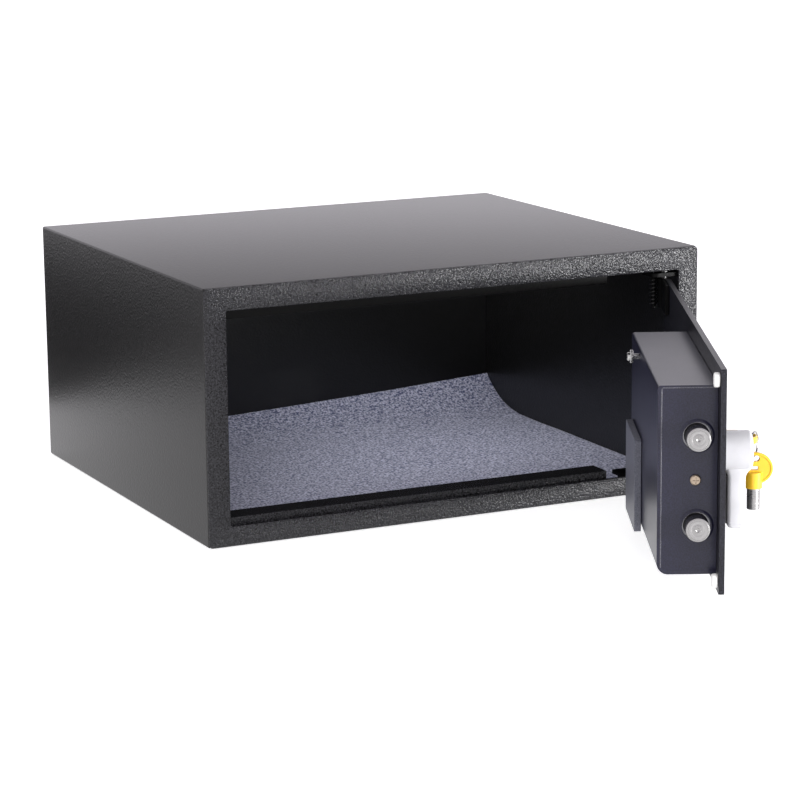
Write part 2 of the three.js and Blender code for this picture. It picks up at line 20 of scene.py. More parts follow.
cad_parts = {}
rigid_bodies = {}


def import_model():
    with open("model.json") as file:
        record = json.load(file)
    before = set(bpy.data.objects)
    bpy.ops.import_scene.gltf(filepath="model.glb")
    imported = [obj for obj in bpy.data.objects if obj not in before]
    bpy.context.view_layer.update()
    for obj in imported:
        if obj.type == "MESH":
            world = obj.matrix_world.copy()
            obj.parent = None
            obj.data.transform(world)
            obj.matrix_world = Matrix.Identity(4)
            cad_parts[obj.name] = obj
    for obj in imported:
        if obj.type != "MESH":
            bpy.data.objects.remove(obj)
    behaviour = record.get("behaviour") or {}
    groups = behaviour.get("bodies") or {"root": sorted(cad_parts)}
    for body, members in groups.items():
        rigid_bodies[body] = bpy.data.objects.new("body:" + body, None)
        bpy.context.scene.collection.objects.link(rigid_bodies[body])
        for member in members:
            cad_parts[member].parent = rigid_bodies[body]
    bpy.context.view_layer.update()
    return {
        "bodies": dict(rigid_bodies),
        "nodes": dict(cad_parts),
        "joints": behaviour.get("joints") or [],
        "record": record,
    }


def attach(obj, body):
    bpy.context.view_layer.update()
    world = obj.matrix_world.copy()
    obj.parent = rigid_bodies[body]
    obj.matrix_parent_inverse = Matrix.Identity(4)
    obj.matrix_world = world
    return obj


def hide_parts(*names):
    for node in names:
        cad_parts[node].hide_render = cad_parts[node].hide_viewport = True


LOG = logging.getLogger("safe")
MM = 0.001
OPEN_ANGLE_DEG = 64.74
AXIS_HEIGHT = 97.0
SMALLEST_RADIUS = 0.05
MERGE_NEW_M = 1e-7
MERGE_CAD_M = 2e-6
FLAT_ANGLE_DEG = 0.6
SHARP_ANGLE_DEG = 30.0
BEVEL_ANGLE_DEG = 35.0
KNURL_FROM_RADIUS = 4.0

Faces = list[list[int]]
Radii = float | tuple[float, ...] | np.ndarray
Socket = bpy.types.NodeSocket
Surface = tuple[np.ndarray, Faces]
MappedSurface = tuple[np.ndarray, Faces, np.ndarray]


# ---- Numpy surfaces --------------------------------------------------------------------------
def rounded_loop(x0: float, x1: float, z0: float, z1: float, radius: Radii, steps: int = 5) -> np.ndarray:
    """A rounded rectangle: four quarter circles of the radii joined by straight sides.

    Args:
        x0, x1: ends along the first axis.
        z0, z1: ends along the second axis.
        radius: one corner radius, or four: (x1, z1), (x0, z1), (x0, z0), (x1, z0).
        steps: points on each corner.
    Returns:
        Points as an array (4 * steps, 2), anticlockwise.
    """
    quarter = np.linspace(0.0, np.pi / 2, steps)
    radii = np.broadcast_to(np.asarray(radius, float), 4)
    centres = np.array([[x1, z1], [x0, z1], [x0, z0], [x1, z0]])
    centres = centres + radii[:, None] * np.array([[-1, -1], [1, -1], [1, 1], [-1, 1]])
    angles = quarter[None, :] + np.arange(4)[:, None] * np.pi / 2
    ring = np.stack([np.cos(angles), np.sin(angles)], axis=-1) * radii[:, None, None]
    return (centres[:, None, :] + ring).reshape(-1, 2)


def ellipse_loop(half_x: float, half_y: float, centre_y: float, steps: int = 64) -> np.ndarray:
    """An ellipse: x = half_x cos t, y = centre_y + half_y sin t."""
    angle = np.linspace(0.0, 2 * np.pi, steps, endpoint=False)
    return np.stack([half_x * np.cos(angle), centre_y + half_y * np.sin(angle)], axis=-1)


def signed_volume(points: np.ndarray, faces: Faces) -> float:
    """Volume by the divergence theorem, summed over fans of the faces.

    Args:
        points: array (n, 3).
        faces: corner indices of each face.
    Returns:
        The volume, negative if the faces point inwards.
    """
    fans = [(f[0], f[i], f[i + 1]) for f in faces for i in range(1, len(f) - 1)]
    corner = points[np.array(fans)]
    return float(np.einsum("ij,ij->i", corner[:, 0], np.cross(corner[:, 1], corner[:, 2])).sum() / 6)


def make_mesh(name: str, points: np.ndarray, faces: Faces, uv: np.ndarray | None = None,
              smooth_deg: float = 35.0) -> bpy.types.Object:
    """A mesh object at the origin from points in millimetres.

    Args:
        name: object name.
        points: array (n, 3) in millimetres.
        faces: corner indices of each face.
        uv: one pair per point, or None.
        smooth_deg: edges sharper than this stay sharp.
    Returns:
        The new object, linked to the scene, with its faces pointing outwards.
    """
    if signed_volume(points, faces) < 0:
        faces = [face[::-1] for face in faces]
    mesh = bpy.data.meshes.new(name)
    mesh.from_pydata((points * MM).tolist(), [], faces)
    if uv is not None:
        layer = mesh.uv_layers.new(name="surface")
        corner = np.zeros(len(mesh.loops), np.int32)
        mesh.loops.foreach_get("vertex_index", corner)
        layer.data.foreach_set("uv", uv[corner].astype(np.float32).ravel())
    work = bmesh.new()
    work.from_mesh(mesh)
    bmesh.ops.remove_doubles(work, verts=work.verts, dist=MERGE_NEW_M)
    bmesh.ops.dissolve_degenerate(work, edges=work.edges, dist=MERGE_NEW_M / 10)
    work.to_mesh(mesh)
    work.free()
    mesh.shade_smooth()
    mesh.set_sharp_from_angle(angle=math.radians(smooth_deg))
    piece = bpy.data.objects.new(name, mesh)
    bpy.context.scene.collection.objects.link(piece)
    return piece


def loft_faces(rows: int, columns: int, closed_rows: bool, caps: bool) -> Faces:
    """Quads between neighbouring rows of a grid whose columns wrap round.

    Args:
        rows, columns: grid size.
        closed_rows: the last row joins the first one.
        caps: the first and last rows are filled.
    Returns:
        Faces as lists of point indices.
    """
    last = rows if closed_rows else rows - 1
    r, c = np.meshgrid(np.arange(last), np.arange(columns), indexing="ij")
    r2, c2 = (r + 1) % rows, (c + 1) % columns
    quads = np.stack([r * columns + c, r * columns + c2, r2 * columns + c2, r2 * columns + c], axis=-1)
    faces = quads.reshape(-1, 4).tolist()
    if caps:
        faces.append(np.arange(columns)[::-1].tolist())
        faces.append((np.arange(columns) + (rows - 1) * columns).tolist())
    return faces


def across(loop: np.ndarray, level: float) -> np.ndarray:
    """The loop's two coordinates as x and z, at one level of y."""
    return np.stack([loop[:, 0], np.full(len(loop), level), loop[:, 1]], axis=-1)


def loft(rows: list[np.ndarray], closed_rows: bool, caps: bool) -> Surface:
    """Joins rows of points, each a closed loop, into one surface."""
    points = np.stack(rows)
    return points.reshape(-1, 3), loft_faces(len(rows), points.shape[1], closed_rows, caps)


def turned(profile: np.ndarray, segments: int = 48, knurl: tuple[int, float] = (0, 0.0)) -> MappedSurface:
    """A surface of revolution about the first axis: each (radius, along) pair sweeps a circle.

    Args:
        profile: array (k, 2) of radius and distance along the axis, ending on the axis.
        segments: points round the circle.
        knurl: number of ridges and their depth, a cosine of the angle on the wider radii.
    Returns:
        (points (n, 3), faces, uv) with uv = (turns, distance along the profile).
    """
    angle = np.linspace(0.0, 2 * np.pi, segments, endpoint=False)
    radius = profile[:, :1] * np.ones_like(angle)
    ridges = knurl[1] * np.cos(knurl[0] * angle)
    radius = radius - np.where(profile[:, :1] > KNURL_FROM_RADIUS, ridges, 0.0)
    along = profile[:, 1:] * np.ones_like(angle)
    points = np.stack([along, radius * np.cos(angle), radius * np.sin(angle)], axis=-1)
    travel = np.concatenate([[0.0], np.cumsum(np.hypot(*np.diff(profile, axis=0).T))])
    uv = np.stack(np.broadcast_arrays(angle / (2 * np.pi), travel[:, None]), axis=-1)
    return points.reshape(-1, 3), loft_faces(len(profile), segments, False, False), uv.reshape(-1, 2)


def tube_along(path: np.ndarray, radius: float, side: np.ndarray, closed: bool,
               segments: int = 10) -> Surface:
    """A round tube: circles square to the path, whose first radius leans to a fixed side.

    Args:
        path: array (k, 3).
        radius: tube radius.
        side: a direction never along the path.
        closed: the path returns to its start.
        segments: points round the tube.
    Returns:
        (points (n, 3), faces).
    """
    ends = np.roll(path, -1, 0) - np.roll(path, 1, 0) if closed else np.gradient(path, axis=0)
    tangent = ends / np.linalg.norm(ends, axis=1, keepdims=True)
    first = np.cross(tangent, side)
    first /= np.linalg.norm(first, axis=1, keepdims=True)
    second = np.cross(tangent, first)
    angle = np.linspace(0.0, 2 * np.pi, segments, endpoint=False)
    circle = (first[:, None, :] * np.cos(angle)[None, :, None]
              + second[:, None, :] * np.sin(angle)[None, :, None]) * radius
    points = (path[:, None, :] + circle).reshape(-1, 3)
    return points, loft_faces(len(path), segments, closed, not closed)


def rounded_slab(x0: float, x1: float, z0: float, z1: float, low: float, high: float,
                 corner: float, edge: float, steps: int = 4) -> Surface:
    """A plate with rounded corners whose two face edges are quarter rounds.

    The section from a face to the side follows inset = edge * (1 - sin t), depth = edge * (1 - cos t).

    Args:
        x0, x1, z0, z1: outline.
        low, high: the two faces along the middle axis.
        corner: outline corner radius.
        edge: radius of the edge round.
        steps: rows on each edge round.
    Returns:
        (points (n, 3) as x, y, z, faces).
    """
    turn = np.linspace(0.0, np.pi / 2, steps)
    inset = edge * (1 - np.sin(turn))
    depth = edge * (1 - np.cos(turn))
    inset = np.concatenate([inset, inset[::-1]])
    level = np.concatenate([low + depth, high - depth[::-1]])
    rows = []
    for gap, at in zip(inset, level):
        radius = max(corner - gap, SMALLEST_RADIUS)
        rows.append(across(rounded_loop(x0 + gap, x1 - gap, z0 + gap, z1 - gap, radius), at))
    return loft(rows, False, True)


def ring_slab(outer: tuple, inner: tuple, low: float, high: float, edge: float,
              corners: tuple[float, float]) -> Surface:
    """A flat frame between two rounded rectangles, its front edges rounded by short bevels.

    Args:
        outer, inner: (x0, x1, z0, z1) of the two outlines.
        low, high: the faces along the middle axis.
        edge: bevel of the edges on the low face.
        corners: corner radii of the outer and the inner outline.
    Returns:
        (points (n, 3) as x, y, z, faces) of a closed ring.
    """
    grow = ((0.0, high), (0.0, low + edge), (0.3 * edge, low + 0.3 * edge), (edge, low))
    rows = []
    sides = ((outer, corners[0], 1, grow), (inner, corners[1], -1, grow[::-1]))
    for (x0, x1, z0, z1), radius, sign, order in sides:
        for gap, at in order:
            shift = sign * gap
            bend = max(radius - shift, SMALLEST_RADIUS)
            rows.append(across(rounded_loop(x0 + shift, x1 - shift, z0 + shift, z1 - shift, bend), at))
    return loft(rows, True, False)


def softened(node: bpy.types.Object, name: str, width: float, segments: int = 2) -> bpy.types.Object:
    """A copy of a CAD node with its loose triangles joined and its sharp edges rounded.

    Args:
        node: the CAD node.
        name: name of the copy.
        width: bevel width in millimetres.
        segments: bevel segments.
    Returns:
        The new object.
    """
    mesh = node.data.copy()
    mesh.materials.clear()
    work = bmesh.new()
    work.from_mesh(mesh)
    bmesh.ops.remove_doubles(work, verts=work.verts, dist=MERGE_CAD_M)
    bmesh.ops.dissolve_limit(work, angle_limit=math.radians(FLAT_ANGLE_DEG), verts=work.verts,
                             edges=work.edges)
    work.to_mesh(mesh)
    work.free()
    mesh.shade_smooth()
    mesh.set_sharp_from_angle(angle=math.radians(SHARP_ANGLE_DEG))
    piece = bpy.data.objects.new(name, mesh)
    bpy.context.scene.collection.objects.link(piece)
    bevel = piece.modifiers.new("edge", "BEVEL")
    bevel.width = width * MM
    bevel.segments = segments
    bevel.limit_method = "ANGLE"
    bevel.angle_limit = math.radians(BEVEL_ANGLE_DEG)
    bevel.harden_normals = False
    return piece


# ---- Shared shader groups --------------------------------------------------------------------
class Coordinates(Enum):
    """Where a pattern is read from."""

    OBJECT = "Object"
    SURFACE = "UV"


@dataclass
class GroupBuilder:
    """Builds one node group with named sockets."""

    name: str
    inputs: dict[str, tuple[str, float]] = field(default_factory=dict)
    outputs: dict[str, str] = field(default_factory=dict)

    def start(self) -> tuple:
        """Makes the empty group.

        Returns:
            (tree, input node, output node).
        """
        tree = bpy.data.node_groups.new(self.name, "ShaderNodeTree")
        for label, (kind, value) in self.inputs.items():
            socket = tree.interface.new_socket(label, in_out="INPUT", socket_type=kind)
            if kind == "NodeSocketFloat":
                socket.default_value = value
        for label, kind in self.outputs.items():
            tree.interface.new_socket(label, in_out="OUTPUT", socket_type=kind)
        return tree, tree.nodes.new("NodeGroupInput"), tree.nodes.new("NodeGroupOutput")


def add_math(tree: bpy.types.NodeTree, operation: str, first: Socket | float,
             second: Socket | float) -> Socket:
    """A Math node on two sockets or numbers.

    Args:
        tree: tree it goes in.
        operation: name of the operation.
        first: first socket or number.
        second: second socket or number.
    Returns:
        Its result socket.
    """
    node = tree.nodes.new("ShaderNodeMath")
    node.operation = operation
    for socket, value in zip(node.inputs, (first, second)):
        if isinstance(value, (int, float)):
            socket.default_value = value
        else:
            tree.links.new(value, socket)
    return node.outputs[0]


def add_noise(tree: bpy.types.NodeTree, vector: Socket, scale: Socket, detail: float) -> bpy.types.Node:
    """A Noise Texture on the vector.

    Args:
        tree: tree it goes in.
        vector: coordinate socket.
        scale: socket of its scale.
        detail: octaves.
    Returns:
        The node.
    """
    node = tree.nodes.new("ShaderNodeTexNoise")
    node.inputs["Detail"].default_value = detail
    tree.links.new(vector, node.inputs["Vector"])
    tree.links.new(scale, node.inputs["Scale"])
    return node


def build_powder_group() -> bpy.types.NodeTree:
    """Powder coat: rounded grains from a cell distance mixed with noise.

    Returns:
        Group with inputs Vector, Grain (1/m), Patch (1/m) and outputs Height, Roughness mask, and the fine
        grain noise that PowderCoat turns into random tone and painted glints in the base colour.
    """
    tree, inside, outside = GroupBuilder(
        "powder_coat", {"Vector": ("NodeSocketVector", 0.0), "Grain": ("NodeSocketFloat", 700.0),
                        "Patch": ("NodeSocketFloat", 30.0)},
        {"Height": "NodeSocketFloat", "Mask": "NodeSocketFloat", "ToneAndGlints": "NodeSocketFloat"}).start()
    grains = tree.nodes.new("ShaderNodeTexVoronoi")
    grains.feature = "SMOOTH_F1"
    tree.links.new(inside.outputs["Vector"], grains.inputs["Vector"])
    tree.links.new(inside.outputs["Grain"], grains.inputs["Scale"])
    fine = add_noise(tree, inside.outputs["Vector"], inside.outputs["Grain"], 2.0)
    dome = add_math(tree, "SUBTRACT", 1.0, grains.outputs["Distance"])
    height = add_math(tree, "ADD", add_math(tree, "MULTIPLY", dome, 0.6),
                      add_math(tree, "MULTIPLY", fine.outputs["Fac"], 0.6))
    patch = add_noise(tree, inside.outputs["Vector"], inside.outputs["Patch"], 4.0)
    tree.links.new(height, outside.inputs["Height"])
    tree.links.new(patch.outputs["Fac"], outside.inputs["Mask"])
    tree.links.new(fine.outputs["Fac"], outside.inputs["ToneAndGlints"])
    return tree


def build_brushed_group() -> bpy.types.NodeTree:
    """Machining marks: noise stretched along one surface direction, plus soft stains.

    Returns:
        Group with inputs Vector, Lines (1/unit), Stain (1/unit) and outputs Height, Mask.
    """
    tree, inside, outside = GroupBuilder(
        "machined", {"Vector": ("NodeSocketVector", 0.0), "Lines": ("NodeSocketFloat", 9.0),
                     "Stain": ("NodeSocketFloat", 0.6)},
        {"Height": "NodeSocketFloat", "Mask": "NodeSocketFloat"}).start()
    stretch = tree.nodes.new("ShaderNodeMapping")
    stretch.inputs["Scale"].default_value = (0.35, 1.0, 1.0)
    tree.links.new(inside.outputs["Vector"], stretch.inputs["Vector"])
    lines = add_noise(tree, stretch.outputs["Vector"], inside.outputs["Lines"], 4.0)
    stain = add_noise(tree, inside.outputs["Vector"], inside.outputs["Stain"], 3.0)
    tree.links.new(lines.outputs["Fac"], outside.inputs["Height"])
    tree.links.new(stain.outputs["Fac"], outside.inputs["Mask"])
    return tree


def build_felt_group() -> bpy.types.NodeTree:
    """Needle felt: crossing fibre noise and mottled blue-grey wool.

    Returns:
        Group with inputs Vector, Fibre (1/m), Mottle (1/m) and outputs Height, Mask, Mottling.
    """
    tree, inside, outside = GroupBuilder(
        "needle_felt", {"Vector": ("NodeSocketVector", 0.0), "Fibre": ("NodeSocketFloat", 1300.0),
                        "Mottle": ("NodeSocketFloat", 520.0)},
        {"Height": "NodeSocketFloat", "Mask": "NodeSocketFloat", "Mottling": "NodeSocketFloat"}).start()
    heights = []
    for stretch_by in ((1.0, 0.25, 1.0), (0.25, 1.0, 1.0)):
        stretch = tree.nodes.new("ShaderNodeMapping")
        stretch.inputs["Scale"].default_value = stretch_by
        stretch.inputs["Rotation"].default_value = (0.0, 0.0, 0.5)
        tree.links.new(inside.outputs["Vector"], stretch.inputs["Vector"])
        fibre = add_noise(tree, stretch.outputs["Vector"], inside.outputs["Fibre"], 4.0)
        heights.append(fibre.outputs["Fac"])
    fibres = add_math(tree, "MAXIMUM", heights[0], heights[1])
    mottle = add_noise(tree, inside.outputs["Vector"], inside.outputs["Mottle"], 5.0)
    tree.links.new(fibres, outside.inputs["Height"])
    tree.links.new(fibres, outside.inputs["Mask"])
    tree.links.new(mottle.outputs["Fac"], outside.inputs["Mottling"])
    return tree


# ---- Finishes --------------------------------------------------------------------------------
@dataclass(frozen=True)
class Finish:
    """A surface finish: base values that every kind of finish shares."""

    name: str
    color: tuple[float, float, float]
    roughness: float
    metallic: float = 0.0
    specular: float = 0.5
    coat: float = 0.0
    coordinates: Coordinates = Coordinates.OBJECT
    coat_roughness: float = 0.12
    noise_span: tuple[float, float] = (0.3, 0.7)

    def start(self, group: bpy.types.NodeTree) -> tuple:
        """Makes the material with its plain socket values and one pattern group.

        Args:
            group: the shared group of this kind of finish.
        Returns:
            (material, node tree, Principled node, group node).
        """
        material = bpy.data.materials.new(self.name)
        material.use_nodes = True
        tree = material.node_tree
        shader = tree.nodes["Principled BSDF"]
        shader.inputs["Base Color"].default_value = (*self.color, 1.0)
        shader.inputs["Roughness"].default_value = self.roughness
        shader.inputs["Metallic"].default_value = self.metallic
        shader.inputs["Specular IOR Level"].default_value = self.specular
        shader.inputs["Coat Weight"].default_value = self.coat
        shader.inputs["Coat Roughness"].default_value = self.coat_roughness
        where = tree.nodes.new("ShaderNodeTexCoord").outputs[self.coordinates.value]
        pattern = tree.nodes.new("ShaderNodeGroup")
        pattern.node_tree = group
        tree.links.new(where, pattern.inputs["Vector"])
        return material, tree, shader, pattern

    def spread(self, tree: bpy.types.NodeTree, mask: Socket, low: float, high: float) -> Socket:
        """Maps a noise value, which keeps near the middle, on to low..high.

        Args:
            tree: the material's node tree.
            mask: socket of the value that varies.
            low: value where the mask is low.
            high: value where the mask is high.
        Returns:
            The result socket.
        """
        node = tree.nodes.new("ShaderNodeMapRange")
        node.inputs["From Min"].default_value = self.noise_span[0]
        node.inputs["From Max"].default_value = self.noise_span[1]
        node.inputs["To Min"].default_value = low
        node.inputs["To Max"].default_value = high
        tree.links.new(mask, node.inputs["Value"])
        return node.outputs["Result"]

    def rough(self, tree: bpy.types.NodeTree, shader: bpy.types.Node, mask: Socket, low: float,
              high: float) -> None:
        """Varies the roughness between low and high times itself by the mask."""
        spread = self.spread(tree, mask, self.roughness * low, self.roughness * high)
        tree.links.new(spread, shader.inputs["Roughness"])

    def tint(self, tree: bpy.types.NodeTree, shader: bpy.types.Node, mask: Socket, low: float,
             high: float) -> None:
        """Varies the base colour between low and high times itself by the mask.

        Args:
            tree: the material's node tree.
            shader: its Principled node.
            mask: socket of the value that varies.
            low: value where the mask is low.
            high: value where the mask is high.
        """
        mix = tree.nodes.new("ShaderNodeMix")
        mix.data_type = "RGBA"
        mix.inputs["A"].default_value = (*[value * low for value in self.color], 1.0)
        mix.inputs["B"].default_value = (*[min(value * high, 1.0) for value in self.color], 1.0)
        tree.links.new(self.spread(tree, mask, 0.0, 1.0), mix.inputs["Factor"])
        tree.links.new(mix.outputs["Result"], shader.inputs["Base Color"])

    def bump(self, tree: bpy.types.NodeTree, shader: bpy.types.Node, height: Socket, depth: float,
             strength: float) -> None:
        """Feeds the height into the shader's normal.

        Args:
            tree: the material's node tree.
            shader: its Principled node.
            height: socket of the height.
            depth: full height in millimetres.
            strength: share of the bump that is used.
        """
        node = tree.nodes.new("ShaderNodeBump")
        node.inputs["Distance"].default_value = depth * MM
        node.inputs["Strength"].default_value = strength
        tree.links.new(height, node.inputs["Height"])
        tree.links.new(node.outputs["Normal"], shader.inputs["Normal"])


@dataclass(frozen=True)
class PowderCoat(Finish):
    """Textured powder coat; grain is the size of a grain in millimetres. The base colour is flecked at the
    grain: random tone where the span is narrow, painted glints of the grains where it is wide.
    """

    grain: float = 1.2
    depth: float = 0.12
    strength: float = 0.5
    patchy: float = 0.04
    # span of the base colour over the fine grain noise: random tone when narrow, painted grain glints when
    # wide
    tone_and_painted_glints: tuple[float, float] = (0.6, 1.5)
    patches_per_m: float = 14.0

    def build(self, groups: dict[str, bpy.types.NodeTree]) -> bpy.types.Material:
        """Makes the material.

        Args:
            groups: the shared shader groups by name.
        Returns:
            The material.
        """
        material, tree, shader, coat = self.start(groups["powder"])
        coat.inputs["Grain"].default_value = 1.0 / (self.grain * MM)
        coat.inputs["Patch"].default_value = self.patches_per_m
        self.bump(tree, shader, coat.outputs["Height"], self.depth, self.strength)
        self.rough(tree, shader, coat.outputs["Mask"], 1 - self.patchy, 1 + self.patchy)
        # painted glints: the fine grain noise scales the base colour, and its bright flecks stand in for
        # highlights on the grains as well as random tone
        self.tint(tree, shader, coat.outputs["ToneAndGlints"], *self.tone_and_painted_glints)
        return material


@dataclass(frozen=True)
class Machined(Finish):
    """Bare or plated metal with machining marks along the surface's own UV, or soft grain."""

    lines: float = 9.0
    stain: float = 0.6
    strength: float = 0.25
    depth: float = 0.05
    gloss: tuple[float, float] = (0.75, 1.35)
    stains: tuple[float, float] = (0.82, 1.1)

    def build(self, groups: dict[str, bpy.types.NodeTree]) -> bpy.types.Material:
        """Makes the material.

        Args:
            groups: the shared shader groups by name.
        Returns:
            The material.
        """
        material, tree, shader, marks = self.start(groups["brushed"])
        marks.inputs["Lines"].default_value = self.lines
        marks.inputs["Stain"].default_value = self.stain
        self.bump(tree, shader, marks.outputs["Height"], self.depth, self.strength)
        self.rough(tree, shader, marks.outputs["Mask"], *self.gloss)
        self.tint(tree, shader, marks.outputs["Mask"], *self.stains)
        return material


@dataclass(frozen=True)
class Moulded(Finish):
    """Moulded plastic, rubber or smooth paint with a fine satin grain."""

    grain: float = 0.5
    strength: float = 0.12
    depth: float = 0.03
    patches_per_m: float = 60.0
    gloss: tuple[float, float] = (0.85, 1.2)
    tone: tuple[float, float] = (0.93, 1.06)

    def build(self, groups: dict[str, bpy.types.NodeTree]) -> bpy.types.Material:
        """Makes the material.

        Args:
            groups: the shared shader groups by name.
        Returns:
            The material.
        """
        material, tree, shader, skin = self.start(groups["powder"])
        skin.inputs["Grain"].default_value = 1.0 / (self.grain * MM)
        skin.inputs["Patch"].default_value = self.patches_per_m
        self.bump(tree, shader, skin.outputs["Height"], self.depth, self.strength)
        self.rough(tree, shader, skin.outputs["Mask"], *self.gloss)
        self.tint(tree, shader, skin.outputs["Mask"], *self.tone)
        return material


@dataclass(frozen=True)
class Felt(Finish):
    """Blue-grey needle felt; dark and light are the two wool colours."""

    dark: tuple[float, float, float] = (0.08, 0.09, 0.15)
    mottled: tuple[float, float] = (-0.3, 1.35)
    fibrous: tuple[float, float] = (0.5, 1.2)
    sheen: float = 0.25
    sheen_roughness: float = 0.5
    depth: float = 0.5
    strength: float = 0.8

    def build(self, groups: dict[str, bpy.types.NodeTree]) -> bpy.types.Material:
        """Makes the material.

        Args:
            groups: the shared shader groups by name.
        Returns:
            The material.
        """
        material, tree, shader, wool = self.start(groups["felt"])
        mix = tree.nodes.new("ShaderNodeMix")
        mix.data_type = "RGBA"
        mix.inputs["A"].default_value = (*self.dark, 1.0)
        mix.inputs["B"].default_value = (*self.color, 1.0)
        blend = add_math(tree, "MULTIPLY", self.spread(tree, wool.outputs["Mottling"], *self.mottled),
                         self.spread(tree, wool.outputs["Mask"], *self.fibrous))
        tree.links.new(blend, mix.inputs["Factor"])
        tree.links.new(mix.outputs["Result"], shader.inputs["Base Color"])
        shader.inputs["Sheen Weight"].default_value = self.sheen
        shader.inputs["Sheen Roughness"].default_value = self.sheen_roughness
        self.bump(tree, shader, wool.outputs["Height"], self.depth, self.strength)
        return material


FINISHES = {finish.name: finish for finish in (
    PowderCoat("cabinet_black", (0.006, 0.006, 0.006), 0.28, grain=1.8, depth=0.3,
               strength=0.6, patchy=0.0, tone_and_painted_glints=(0.9, 1.1)),
    # flange_black and door_black: base colour from zero to several times itself at the grain, painted glints
    # of the grains
    PowderCoat("flange_black", (0.008, 0.008, 0.009), 0.27, specular=0.26, grain=1.4, depth=0.9,
               strength=1.0, patchy=0.0, tone_and_painted_glints=(0.0, 4.5)),
    PowderCoat("door_black", (0.007, 0.007, 0.010), 0.38, specular=0.3, grain=1.0, depth=0.3,
               strength=0.7, tone_and_painted_glints=(0.0, 3.0)),
    # the black powder coat made darker and almost without reflection, painted shade for parts that sit behind
    # the flange
    PowderCoat("shaded_inner_black", (0.002, 0.002, 0.002), 0.5, specular=0.08, grain=1.0),
    PowderCoat("case_black", (0.009, 0.009, 0.022), 0.32, specular=0.4, grain=0.9, depth=0.1,
               strength=0.3),
    PowderCoat("cover_black", (0.085, 0.088, 0.11), 0.42, grain=0.7, depth=0.1, strength=0.3),
    Machined("bolt_steel", (0.34, 0.335, 0.33), 0.28, 1.0, coordinates=Coordinates.SURFACE,
             lines=7.0, stain=0.5, strength=0.6),
    Machined("small_steel", (0.45, 0.45, 0.44), 0.24, 1.0, lines=2600.0, stain=240.0),
    Machined("zinc", (0.3, 0.3, 0.31), 0.36, 1.0, lines=1800.0, stain=160.0),
    Machined("dark_steel", (0.045, 0.045, 0.045), 0.34, 1.0, lines=1800.0, stain=160.0),
    Machined("yellow_zinc", (0.42, 0.34, 0.26), 0.36, 1.0, lines=1800.0, stain=300.0),
    # grey lighter than the case paint: painted highlight along the fold ridge of the case end
    PowderCoat("ridge_highlight_grey", (0.07, 0.07, 0.085), 0.3, grain=0.8, depth=0.05),
    Moulded("pearl_paint", (0.53, 0.53, 0.55), 0.34, 0.0, coat=0.3, grain=0.35, strength=0.04),
    Moulded("black_plastic", (0.012, 0.012, 0.013), 0.42, grain=0.45, strength=0.3),
    Moulded("key_grey", (0.12, 0.125, 0.13), 0.5, grain=0.4, strength=0.2),
    Moulded("legend_white", (0.8, 0.8, 0.8), 0.45),
    Moulded("yellow_plastic", (0.7, 0.43, 0.012), 0.3, coat=0.3, grain=0.6, strength=0.08),
    Moulded("white_rubber", (0.7, 0.7, 0.68), 0.55, grain=0.5),
    Felt("felt", (0.68, 0.69, 0.84), 0.95, specular=0.1, dark=(0.07, 0.085, 0.19)),
    Moulded("board_green", (0.02, 0.12, 0.05), 0.4),
    Moulded("battery_wrap", (0.03, 0.11, 0.25), 0.3),
    Moulded("smoked_glass", (0.012, 0.004, 0.005), 0.06, coat=0.6, strength=0.0),
    Moulded("lamp_red", (0.5, 0.02, 0.02), 0.15, coat=0.5, strength=0.0),
    Moulded("lamp_green", (0.03, 0.35, 0.06), 0.15, coat=0.5, strength=0.0),
)}


class Wardrobe:
    """All finishes, each made once."""

    def __init__(self) -> None:
        """Builds the shared groups and every material."""
        self.groups = {"powder": build_powder_group(), "brushed": build_brushed_group(),
                       "felt": build_felt_group()}
        self.materials = {key: finish.build(self.groups) for key, finish in FINISHES.items()}

    def dress(self, piece: bpy.types.Object, key: str) -> None:
        """Gives the object one finish."""
        piece.data.materials.clear()
        piece.data.materials.append(self.materials[key])


# ---- Workshop: what every sub-assembly needs -------------------------------------------------
@dataclass(frozen=True)
class DoorFrame:
    """The door's own frame in its open rest position."""

    pivot_x: float
    pivot_y: float
    angle: float

    def to_row(self, points: np.ndarray) -> np.ndarray:
        """Turns door points (u, y, z) about the hinge into the row frame, in millimetres.

        Args:
            points: array (..., 3) of u, y, z.
        Returns:
            Array of x, y, z in the row frame.
        """
        cosine, sine = math.cos(self.angle), math.sin(self.angle)
        x = self.pivot_x + points[..., 0] * cosine - points[..., 1] * sine
        y = self.pivot_y + points[..., 0] * sine + points[..., 1] * cosine
        return np.stack([x, y, points[..., 2]], axis=-1)


@dataclass
class Workshop:
    """Carries the frame, the finishes and the list of pieces made."""

    frame: dict
    wardrobe: Wardrobe
    door: DoorFrame
    made: list[str] = field(default_factory=list)

    def finish_piece(self, piece: bpy.types.Object, body: str, finish: str,
                     replaces: tuple[str, ...] = ()) -> bpy.types.Object:
        """Dresses a piece, puts it on its body and hides the CAD nodes it replaces.

        Args:
            piece: the new object.
            body: CAD body it rides on.
            finish: key in FINISHES.
            replaces: CAD nodes it stands for.
        Returns:
            The piece.
        """
        self.wardrobe.dress(piece, finish)
        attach(piece, body)
        if replaces:
            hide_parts(*replaces)
        self.made.append(piece.name)
        LOG.info("piece %s on %s", piece.name, body)
        return piece

    def soften(self, node: str, body: str, finish: str, width: float, segments: int = 2) -> None:
        """Replaces a CAD node with its rounded-edge copy."""
        piece = softened(self.frame["nodes"][node], node + "_soft", width, segments)
        self.finish_piece(piece, body, finish, (node,))

    def dress_node(self, node: str, finish: str) -> None:
        """Gives a CAD node that stays a better material."""
        self.wardrobe.dress(self.frame["nodes"][node], finish)

    def on_door(self, points: np.ndarray) -> np.ndarray:
        """Door-frame points in millimetres to row-frame points."""
        return self.door.to_row(points)


